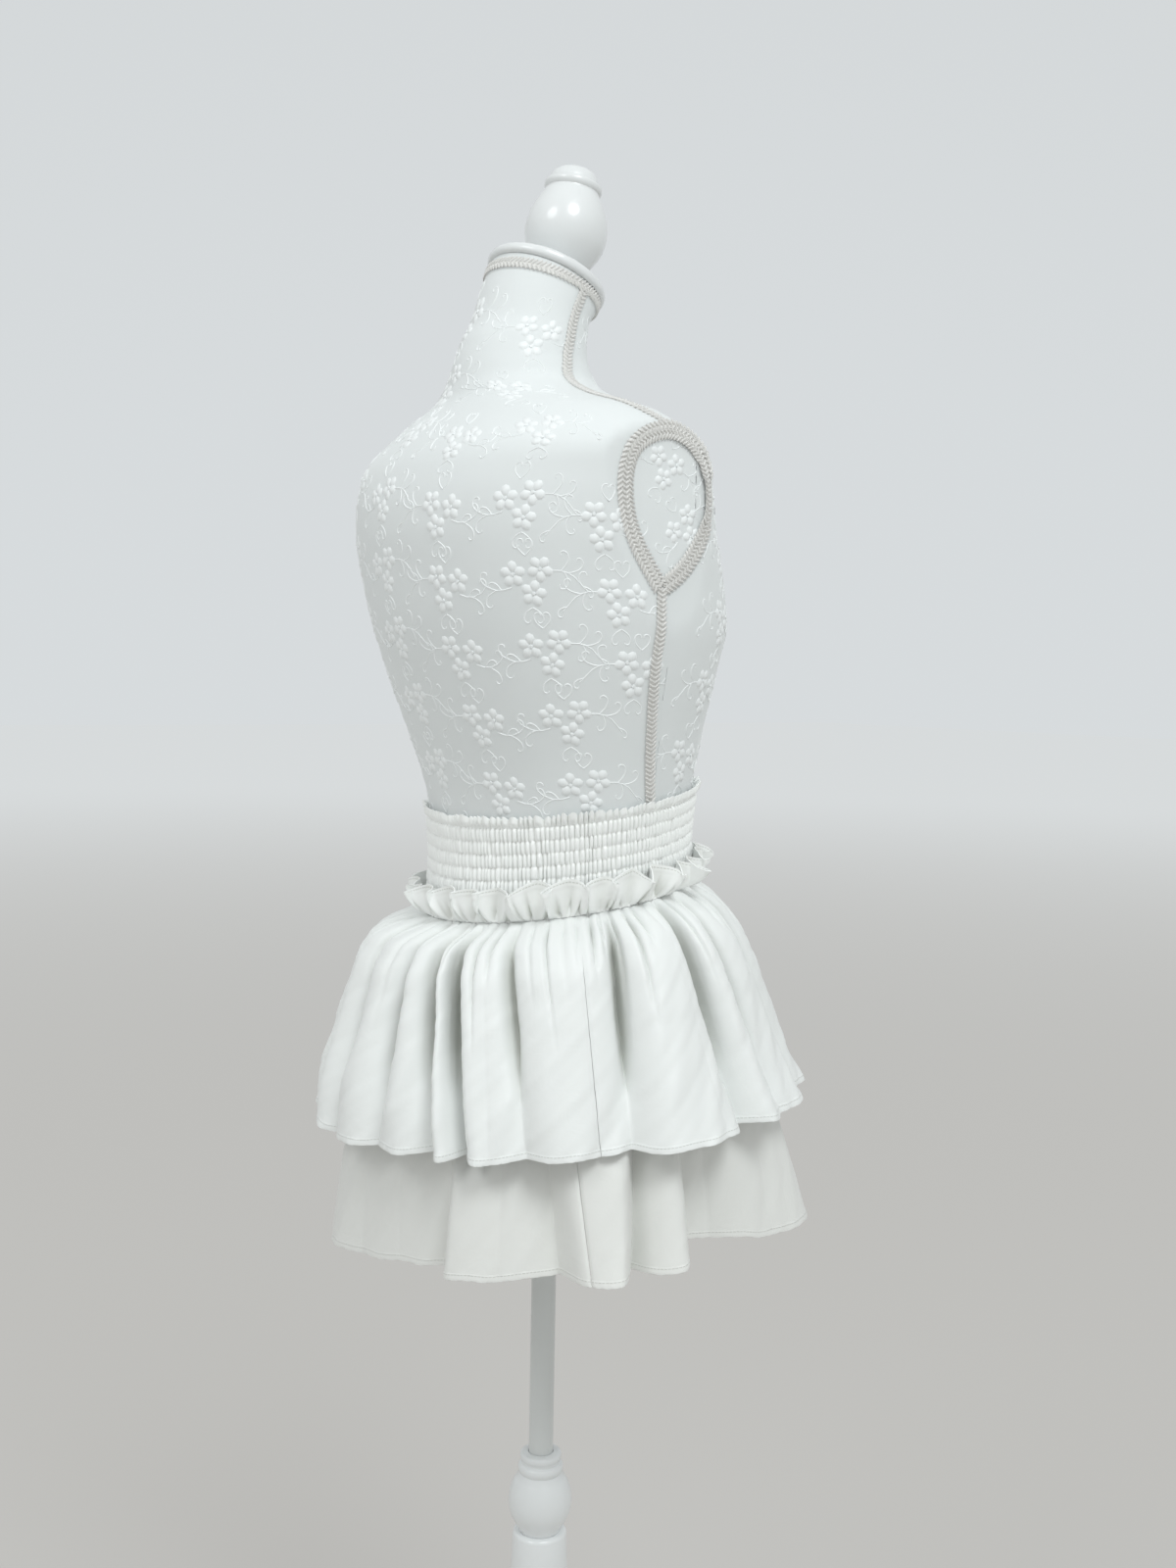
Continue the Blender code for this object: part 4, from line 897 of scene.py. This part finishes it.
# ridge and valley by turns: angle at the seam, angle at the hem, push halfway, push
# at the hem, and, where it isn't none, how far the hem is lifted there
UPPER_FOLDS = (
    (48.0, 52.0, -0.006, -0.011, 0.010),
    (54.0, 60.0, 0.006, 0.009, 0.009),
    (58.5, 66.0, -0.008, -0.012, 0.007),
    (64.5, 71.0, 0.009, 0.013, 0.004),
    (73.0, 78.0, -0.006, 0.002),
    (82.0, 86.5, 0.008, 0.010),
    (91.0, 94.5, -0.014, -0.004),
    (96.0, 102.0, 0.008, 0.006),
    (100.5, 110.5, -0.012, -0.013),
    (104.0, 115.0, 0.007, 0.011),
    (107.5, 118.5, -0.016, -0.016),
    (112.0, 122.5, 0.008, 0.011),
    (118.0, 126.0, 0.004, 0.006),
    (123.0, 133.0, -0.005, -0.004),
    (132.0, 141.0, 0.005, 0.009),
    (146.0, 149.0, 0.002, 0.000),
    (157.0, 156.5, -0.012, -0.009),
    (165.0, 166.0, 0.008, 0.014),
    (175.0, 178.0, 0.005, 0.009),
    (181.5, 187.5, -0.013, -0.013),
    (188.0, 194.0, 0.007, 0.010),
    (195.0, 201.0, -0.003, 0.002),
    (204.0, 212.0, 0.006, 0.008),
    (212.0, 221.0, -0.004, -0.006),
    (221.0, 231.0, 0.006, 0.010),
    (230.0, 240.0, -0.007, -0.010),
    (239.0, 248.0, 0.006, 0.010),
    (248.0, 256.0, -0.004, -0.006),
    (257.0, 264.0, 0.006, 0.011),
    (266.0, 272.0, -0.008, -0.012),
    (275.0, 280.0, 0.006, 0.009),
    (284.0, 289.0, -0.005, -0.006),
    (293.0, 297.0, 0.006, 0.012),
    (302.0, 306.0, -0.007, -0.011),
    (311.0, 315.0, 0.005, 0.008),
    (323.0, 326.0, 0.001, 0.000),
    (331.0, 334.0, -0.006, -0.009),
    (341.0, 344.0, 0.006, 0.011),
    (351.0, 354.0, -0.007, -0.010),
    (360.0, 364.0, 0.006, 0.010),
    (369.0, 374.0, -0.005, -0.007),
    (378.0, 384.0, 0.006, 0.011),
    (388.0, 393.0, -0.007, -0.010),
    (399.0, 402.5, 0.005, 0.008),
)
UPPER_SEAMS = (15, 35)
UPPER_HEM = (0.8130, -0.075, -0.070)
FLARE_BACK_AT, HEM_SHIFT = 60.0, -0.009
FOLD_POWER = 0.64
# how far above the hem's edge the last rows lie, and how much the turned hem adds
HEM_ROWS = ((0.0075, 0.0), (0.0060, 0.0), (0.0054, 0.0), (0.0050, 0.6), (0.0045, 0.8),
            (0.0036, 1.0), (0.0018, 1.0), (0.0006, 0.8), (0.0, 0.2))
HEM_STITCHES = (0.0042, 0.0003)
HEM_UNEVEN, HEM_BULGE, HEM_PUCKER = 0.0010, 0.00028, 0.0001
FOLD_SLOPE = 0.35                        # how much of a fold's slope is kept at its ridge
FREE_FROM, FREE_SPAN = 0.45, 0.55        # where down the tier the folds begin to hang free
SEAM_CLEAR, SEAM_DRAW, SEAM_WIDE = 0.002, 0.0007, 1.6
TIER_WALL, GATHER_FULL_SHADE, UPPER_LONG = 0.0008, 0.0085, 0.170


def fold_reader(folds, s):
    """Angles, pushes and lift at places along the ring, counted in folds. Ridges are
    broad and valleys narrow, as in cloth that hangs from gathers."""
    rows = np.array([tuple(row) + (0.0,) * (5 - len(row)) for row in folds])
    n = len(rows)
    turn = np.array((360.0, 360.0, 0.0, 0.0, 0.0))
    i = np.floor(s).astype(int)
    t = (s - i)[:, None]

    def row(k):
        return rows[k % n] + np.outer(k // n, turn)

    p0, p1, p2, p3 = row(i - 1), row(i), row(i + 1), row(i + 2)
    m1, m2 = (p2 - p0) / 2, (p3 - p1) / 2
    m1[:, 2:] *= FOLD_SLOPE
    m2[:, 2:] *= FOLD_SLOPE
    rising = p2[:, 3:4] > p1[:, 3:4]
    swept = np.where(rising, t ** FOLD_POWER, 1 - (1 - t) ** FOLD_POWER)
    t = np.repeat(t, 5, axis=1)
    t[:, 2:4] = swept
    return ((2 * t**3 - 3 * t**2 + 1) * p1 + (t**3 - 2 * t**2 + t) * m1
            + (3 * t**2 - 2 * t**3) * p2 + (t**3 - t**2) * m2)


def gather_lines(seed, number, depth, reach):
    """Small gathers: angle at the seam, half width in degrees, depth, how far down."""
    dice = np.random.default_rng(seed)
    at = (np.arange(number) + dice.uniform(-0.32, 0.32, number)) * 360.0 / number
    return np.stack((at, dice.uniform(0.40, 0.95, number) * 72 / number,
                     dice.uniform(0.35, 1.10, number) * depth,
                     dice.uniform(0.30, 1.0, number) ** 1.5 * reach, np.zeros(number)), 1)


def tier_surface(s, depths, folds, flare, hem, start_out, drop, ruck):
    """The outer face of a gathered tier, whose top hangs a drop below the seam line."""
    table = fold_reader(folds, s)
    grid = []
    for t in depths:
        turn = t ** 0.8
        angle = table[:, 0] * (1 - turn) + table[:, 1] * turn
        a = np.radians(angle)
        seam_z = height_on(WAIST_SEAM, angle, NEAR_SEAM)
        x0, y0 = form_point(angle, seam_z - drop, start_out)
        back = 0.5 + 0.5 * np.cos(a - math.radians(FLARE_BACK_AT))
        out = read_table(flare, t, 1) * back + read_table(flare, t, 2) * (1 - back)
        share = float(read_table(flare, t, 3))
        low = float(np.clip((t - FREE_FROM) / FREE_SPAN, 0.0, 1.0))
        deep = table[:, 2] * (1 - low) + table[:, 3] * low
        out = out + deep * (1.0 if t >= FREE_FROM else share / 0.6)
        slow = rough_line(table[:, 1] + 25 * t, 21, (13, 22, 37, 51))
        out = out + ruck * slow * np.clip(t * 1.4, 0, 1) ** 1.5
        quick = rough_line(angle + 60 * t, 22, (29, 47, 73))
        out = out + 0.35 * ruck * quick * min(1, 4 * t)
        x = x0 + out * np.cos(a)
        y = y0 + out * np.sin(a) + HEM_SHIFT * t
        hem_z = plane_z(hem, x, y)
        z = seam_z + (hem_z - seam_z) * t - drop * (1 - t) + table[:, 4] * t
        z = z + HEM_UNEVEN * rough_line(table[:, 1], 23, (9, 19, 31)) * t
        grid.append(np.stack((x, y, z), 1))
    return np.array(grid)


def tier_piece(name, first, last, per_fold, depths, long, folds, flare, hem, start_out, drop,
               lines, ruck, shape=None):
    """One panel of a tier between two side seams, with its hem turned and stitched."""
    places = np.linspace(first + SEAM_CLEAR, last - SEAM_CLEAR, (last - first) * per_fold + 1)
    depths = list(depths) + [1 - d / long for d, _ in HEM_ROWS]
    extra = np.array([0.0] * (len(depths) - len(HEM_ROWS)) + [e for _, e in HEM_ROWS])
    grid = tier_surface(places, depths, folds, flare, hem, start_out, drop, ruck)
    n = cloth_normals(grid, False)
    for _ in range(3):                  # the gathers are drawn in square to the broad form
        around = np.pad(n, ((0, 0), (6, 6), (0, 0)), mode="edge")
        n = sum(around[:, k:k + n.shape[1]] for k in range(0, 13, 3)) / 5
    n /= np.linalg.norm(n, axis=2)[:, :, None]
    at = fold_reader(folds, places)[:, 0]
    drawn = np.array([gathered(at, max(t, 0.0), lines) for t in depths])
    grid = grid + n * drawn[:, :, None]
    if shape is not None:
        grid = shape(grid)
    n = cloth_normals(grid, False)
    level = n[0].copy()
    level[:, 2] = 0
    n[0] = level / np.linalg.norm(level, axis=1)[:, None]
    pucker = np.sin(np.linspace(0, (last - first) * 9.5, len(places)) * 2.3)
    extra = extra[:, None, None] * (HEM_BULGE + pucker[None, :, None] * HEM_PUCKER)
    # the side seam draws the cloth in a little along each edge
    edge = np.minimum(np.arange(len(places)), np.arange(len(places))[::-1])
    sunk = (SEAM_DRAW * np.exp(-(edge / SEAM_WIDE) ** 2))[None, :, None]
    outer = grid + n * (extra - sunk)
    inner = grid - n * (TIER_WALL + extra * 0.8 + sunk)
    # painted shade mask: deep darkens the panel where the gathers draw the cloth in
    return cloth_piece(name, outer, inner, False, deep=-drawn / GATHER_FULL_SHADE - 0.12), grid


UPPER_DEPTHS = np.concatenate(((0, 0.008, 0.018, 0.030, 0.043), np.linspace(0.057, 0.40, 22),
                               np.linspace(0.418, 0.945, 27)))
valleys = [row for row in UPPER_FOLDS if row[2] < -0.002]
upper_lines = np.concatenate((gather_lines(8, 72, 0.0080, 0.60), np.array(
    [(row[0], 1.15, 0.0085 - 0.55 * row[2], 0.88, 1) for row in valleys])))
upper_satin = satin_material("upper_satin", HEM_STITCHES)
upper_grids = []
for name, node, first, last in (("upper_tier_back_panel", "upper_tier_back",
                                 UPPER_SEAMS[1] - len(UPPER_FOLDS), UPPER_SEAMS[0]),
                                ("upper_tier_front_panel", "upper_tier_front", *UPPER_SEAMS)):
    panel, grid = tier_piece(name, first, last, 22, UPPER_DEPTHS, UPPER_LONG, UPPER_FOLDS,
                             UPPER_FLARE, UPPER_HEM, STACK_OUT + CLOTH, GAP / 2, upper_lines,
                             0.0016)
    upper_grids.append(grid)
    panel.data.materials.append(upper_satin)
    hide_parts(node)
    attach(panel, "root")

# ------------------------------------------------------------------ lower tier
# A longer tier of the same make, sewn in at the same seam, that shows from the upper
# hem down. Its folds are fewer and deeper, and it hangs over the shorts.
LOWER_FLARE = (
    (0.00, 0.0000, 0.0000, 0.00),
    (0.04, 0.0055, 0.0050, 0.05),
    (0.14, 0.0205, 0.0190, 0.12),
    (0.34, 0.0390, 0.0370, 0.25),
    (0.56, 0.0540, 0.0520, 0.45),
    (0.78, 0.0640, 0.0660, 0.75),
    (1.00, 0.0690, 0.0780, 1.00),
)
LOWER_FOLDS = (
    (56.0, 58.0, -0.004, -0.013),
    (66.0, 70.0, 0.004, 0.013),
    (80.0, 84.0, 0.001, 0.003),
    (95.0, 97.0, -0.002, -0.004),
    (112.0, 110.5, -0.005, -0.015),
    (119.0, 116.5, 0.005, 0.014),
    (126.0, 127.0, 0.002, 0.006),
    (131.0, 140.0, -0.005, -0.011),
    (138.0, 147.2, 0.007, 0.019, -0.002),
    (158.0, 152.8, 0.008, 0.024, -0.002),
    (164.5, 157.6, -0.006, -0.012),
    (170.5, 167.3, 0.004, 0.014),
    (176.0, 173.6, -0.009, -0.026, 0.010),
    (185.0, 183.0, -0.008, -0.023, 0.009),
    (201.0, 201.0, 0.001, 0.001, 0.002),
    (216.0, 219.0, 0.005, 0.014),
    (232.0, 234.0, -0.004, -0.012),
    (248.0, 249.0, 0.004, 0.012),
    (264.0, 263.0, -0.004, -0.010),
    (280.0, 279.0, 0.004, 0.013),
    (294.0, 293.0, -0.004, -0.013),
    (308.0, 307.0, 0.004, 0.011),
    (323.0, 323.0, 0.000, 0.000),
    (336.0, 336.0, -0.004, -0.012),
    (351.0, 351.0, 0.004, 0.013),
    (367.0, 366.0, -0.004, -0.012),
    (382.0, 384.0, 0.004, 0.012),
    (400.0, 401.0, -0.002, -0.006),
)
LOWER_SEAMS = (8, 22)
LOWER_HEM = (0.7130, -0.125, -0.015)
SHORTS_OUT = EASE + 0.0003 + CLOTH + GAP
# how far out the upper tier leaves room, level by level and all round
BINS, Z_LOW, Z_HIGH, LEVELS, MIDDLE = 180, 0.76, 1.00, 60, 0.01
LOWER_LONG, TIERS_APART, OPEN_SLOPE = 0.262, 0.0016, 0.9
SOFTNESS, SOFT_TOP = 150, 30             # how sharply a point is held at its limit
limit = np.full((LEVELS + 2, BINS), np.inf)
cover = np.concatenate([g[2:].reshape(-1, 3) for g in upper_grids])
turn = np.degrees(np.arctan2(cover[:, 1] + MIDDLE, cover[:, 0])) % 360 / 360 * BINS
turn = turn.astype(int) % BINS
level = np.clip(((cover[:, 2] - Z_LOW) / (Z_HIGH - Z_LOW) * LEVELS).astype(int), 0, LEVELS + 1)
np.minimum.at(limit, (level, turn), np.hypot(cover[:, 0], cover[:, 1] + MIDDLE))
for _ in range(2):
    limit = np.minimum.reduce([np.roll(limit, k, 1) for k in (-1, 0, 1)])
padding = np.pad(limit, ((1, 1), (0, 0)), constant_values=np.inf)
limit = np.minimum.reduce([padding[:-2], padding[1:-1], padding[2:]])
step = (Z_HIGH - Z_LOW) / LEVELS
for k in range(LEVELS, -1, -1):         # below the upper hem it may flare out again
    limit[k] = np.minimum(limit[k], limit[k + 1] + OPEN_SLOPE * step)


def keep_inside(grid):
    """Pulls the covered part of the lower tier in under the upper one."""
    grid = grid.copy()
    x, y, z = grid[..., 0], grid[..., 1] + MIDDLE, grid[..., 2]
    radius = np.hypot(x, y)
    turn = np.degrees(np.arctan2(y, x)) % 360 / 360 * BINS - 0.5
    low, part = np.floor(turn).astype(int), turn - np.floor(turn)
    level = np.clip(((z - Z_LOW) / (Z_HIGH - Z_LOW) * LEVELS).astype(int), 0, LEVELS + 1)
    most = limit[level, low % BINS] * (1 - part) + limit[level, (low + 1) % BINS] * part
    most = np.where(np.isnan(most), np.inf, most)
    most = np.where(z < Z_LOW, np.inf, most - CLOTH - TIERS_APART)
    short = np.clip(1.0 - most / radius, -0.05, None) * SOFTNESS
    pulled = np.where(short > SOFT_TOP, short, np.log1p(np.exp(np.minimum(short, SOFT_TOP))))
    scale = 1.0 - pulled / SOFTNESS
    for _ in range(6):                  # evened out along the ring and down
        even = (scale[:, :-2] + scale[:, 1:-1] + scale[:, 2:]) / 3
        scale[:, 1:-1] = np.minimum(scale[:, 1:-1], even)
        scale[1:-1] = np.minimum(scale[1:-1], (scale[:-2] + scale[1:-1] + scale[2:]) / 3)
    scale[:2] = 1.0
    grid[..., 0], grid[..., 1] = x * scale, y * scale - MIDDLE
    return grid


LOWER_DEPTHS = np.concatenate(((0, 0.02, 0.04, 0.08, 0.14, 0.20, 0.27, 0.34, 0.41, 0.47, 0.52),
                               np.linspace(0.56, 0.965, 30)))
lower_lines = gather_lines(9, 60, 0.0020, 0.35)
# painted shade: the lower tier's copy of the satin is darker and warmer than the upper tier's,
# for the shade under the upper tier
lower_satin_painted_shade = satin_material("lower_satin_painted_shade", HEM_STITCHES, 0.014, (0.790, 0.798, 0.772, 1))
for name, node, first, last in (("lower_tier_back_panel", "lower_tier_back",
                                 LOWER_SEAMS[1] - len(LOWER_FOLDS), LOWER_SEAMS[0]),
                                ("lower_tier_front_panel", "lower_tier_front", *LOWER_SEAMS)):
    panel, grid = tier_piece(name, first, last, 30, LOWER_DEPTHS, LOWER_LONG, LOWER_FOLDS,
                             LOWER_FLARE, LOWER_HEM, SHORTS_OUT + CLOTH, 0.0063, lower_lines,
                             0.0009, keep_inside)
    panel.data.materials.append(lower_satin_painted_shade)
    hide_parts(node)
    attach(panel, "root")

# ------------------------------------------------------------------ shorts
# Four flat-cut panels sewn in under the tiers, with a short leg each side of the stand's
# pole and a narrow stitched hem.
SHORTS_FORK_X = 0.026     # the crotch hangs to the wearer's left of the pole
LEG_CENTRE_Y, LEG_DEPTH = -0.008, 0.1040
SHORTS_HEM_Z, SHORTS_FORK_Z = 0.7380, 0.7780
SHORTS_POINTS, HIP_Z = 57, 0.870
# share of the way from the waist to the fork (past 1, on to the hem),
# how far the row has turned from the body's round to the leg's, slack
SHORTS_ROWS = (
    (0.00, 0.00, 0.0003),
    (0.10, 0.00, 0.0020),
    (0.25, 0.00, 0.0038),
    (0.45, 0.00, 0.0048),
    (0.72, 0.00, 0.0040),
    (0.84, 0.15, 0.0040),
    (0.94, 0.60, 0.0040),
    (1.00, 1.00, 0.0040),
    (2.00, 1.00, 0.0040),
)


def shorts_piece(name, side, face):
    """side is +1 for the wearer's left, face is -1 for the front."""
    u = np.linspace(0.0, 1.0, SHORTS_POINTS)
    start = 0.0 if side > 0 else 180.0
    if side > 0 and face < 0:
        start = 360.0
    hip_w = float(read_table(FORM_SECTIONS, HIP_Z, 2))
    legs = SHORTS_HEM_Z - SHORTS_FORK_Z
    steps = list(np.linspace(0, 1, 27)) + list(np.linspace(1.05, 1.78, 15))
    steps += [2 - d / -legs for d, _ in HEM_ROWS]
    rows = []
    for row in steps:
        turn, slack = (float(read_table(SHORTS_ROWS, row, k)) for k in (1, 2))
        swing = math.degrees(math.asin(SHORTS_FORK_X * min(row / 0.75, 1.0) / hip_w))
        centre = 90.0 - swing if face > 0 else 270.0 + swing
        angle = start + (centre - start) * u
        seam = height_on(WAIST_SEAM, angle, NEAR_SEAM) - BAND_LAP - GAP
        z = seam + (SHORTS_FORK_Z - seam) * min(row, 1.0) + legs * max(row - 1.0, 0.0)
        leg, out = math.pi * u, EASE + slack + CLOTH
        body_x, body_y = form_point(angle, np.maximum(z, HIP_Z), out)
        wide = abs(side * (hip_w + out) - SHORTS_FORK_X) / 2 - 0.0030 * max(0.0, row - 0.7)
        leg_x = SHORTS_FORK_X + side * wide * (1 + np.cos(leg))
        leg_y = LEG_CENTRE_Y + face * LEG_DEPTH * np.sin(leg)
        free = np.sin(math.pi * u) * max(0.0, row - 0.7)
        uneven = rough_line(u * 360, 50 + side * 3 + face, (2, 3.3, 5.1))
        ripple = free * (0.0011 * uneven - 0.0100)
        x = body_x * (1 - turn) + leg_x * turn + side * GAP / 2 * u ** 4
        y = body_y * (1 - turn) + leg_y * turn + face * (GAP / 2 * (1 - np.sin(leg)) + ripple)
        rows.append(np.stack((x, y, z), 1))
    outer = np.array(rows) if side * face > 0 else np.array(rows)[:, ::-1]
    n = cloth_normals(outer, False)
    centre_column, side_column = (-1, 0) if side * face > 0 else (0, -1)
    turned_rows = np.array(steps) >= 1.0
    n[:, side_column, 1] = 0.0
    n[turned_rows, centre_column] = (-side, 0.0, 0.0)
    n[~turned_rows, centre_column, 0] = 0.0
    n[0, :, 2] = n[-1, :, 2] = 0.0
    n /= np.linalg.norm(n, axis=2)[:, :, None]
    extra = [0.0] * (len(steps) - len(HEM_ROWS)) + [e for _, e in HEM_ROWS]
    extra = np.array(extra)[:, None, None] * 0.00025
    extra = extra * np.sin(math.pi * u)[None, :, None] ** 0.2
    return cloth_piece(name, outer + n * extra, outer - n * (WALL_IN + extra), False)


shorts_satin = satin_material("shorts_satin", HEM_STITCHES)
for name, node, side, face in (("shorts_panel_front_left", "shorts_front_left", 1, -1),
                               ("shorts_panel_front_right", "shorts_front_right", -1, -1),
                               ("shorts_panel_back_left", "shorts_back_left", 1, 1),
                               ("shorts_panel_back_right", "shorts_back_right", -1, 1)):
    panel = shorts_piece(name, side, face)
    panel.data.materials.append(shorts_satin)
    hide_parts(node)
    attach(panel, "root")

# ------------------------------------------------------------------ floor and light
# A plain pale floor that glows as painted light, dimmer near the stand and brighter far off, so
# that it fades into a soft sky and lights the skirt from below, with a large lamp high on the
# wearer's right and a weaker one behind.
bpy.context.scene.view_settings.view_transform = "Standard"
bpy.ops.mesh.primitive_plane_add(size=60, location=(0, 0, 0))
floor = bpy.context.object
floor.name = "floor"
paint, nodes, links, shader = new_material("pale_floor")
place, far, glow = (nodes.new("ShaderNodeTexCoord"), nodes.new("ShaderNodeVectorMath"),
                    nodes.new("ShaderNodeValToRGB"))
put(shader, {"Base Color": (0.30, 0.30, 0.295, 1), "Roughness": 0.95,
             "Specular IOR Level": 0.0, "Emission Strength": 1.0})
far.operation = "LENGTH"
reach = nodes.new("ShaderNodeMapRange")
put(reach, {"From Min": 0.6, "From Max": 15.0})
links.new(place.outputs["Object"], far.inputs[0])
links.new(far.outputs["Value"], reach.inputs["Value"])
links.new(reach.outputs["Result"], glow.inputs["Fac"])
glow.color_ramp.interpolation = "EASE"
glow.color_ramp.elements[0].color = (0.290, 0.280, 0.265, 1)
glow.color_ramp.elements[1].color = (0.500, 0.520, 0.530, 1)
# painted light: the floor's glow, graded with distance from the stand
links.new(glow.outputs["Color"], shader.inputs["Emission Color"])
floor.data.materials.append(paint)
world = bpy.data.worlds.new("studio")
bpy.context.scene.world = world
world.use_nodes = True
sky = world.node_tree
sky.nodes["Background"].inputs["Strength"].default_value = 1.0
way, side, shade = (sky.nodes.new("ShaderNodeTexCoord"), sky.nodes.new("ShaderNodeVectorMath"),
                    sky.nodes.new("ShaderNodeValToRGB"))
side.operation = "DOT_PRODUCT"
side.inputs[1].default_value = (0.56, -0.42, -0.32)
shade.color_ramp.elements[0].position, shade.color_ramp.elements[1].position = 0.0, 0.62
shade.color_ramp.elements[0].color = (0.600, 0.615, 0.612, 1)
shade.color_ramp.elements[1].color = (0.680, 0.710, 0.725, 1)
sky.links.new(way.outputs["Generated"], side.inputs[0])
sky.links.new(side.outputs["Value"], shade.inputs["Fac"])
sky.links.new(shade.outputs["Color"], sky.nodes["Background"].inputs["Color"])
for name, place, size, power, tint in (
        ("key", (-3.00, 0.60, 4.50), 1.8, 84.0, (0.95, 0.99, 1.0)),
        ("side", (-0.60, 3.20, 4.00), 1.8, 30.0, (0.97, 0.99, 1.0))):
    bpy.ops.object.light_add(type="AREA", location=place)
    lamp = bpy.context.object
    lamp.name = name
    lamp.data.shape, lamp.data.size, lamp.data.energy = "DISK", size, power
    lamp.data.color = tint
    lamp.rotation_mode = "QUATERNION"
    lamp.rotation_quaternion = (Vector(place) - Vector((0, 0, 1.15))).to_track_quat("Z", "Y")
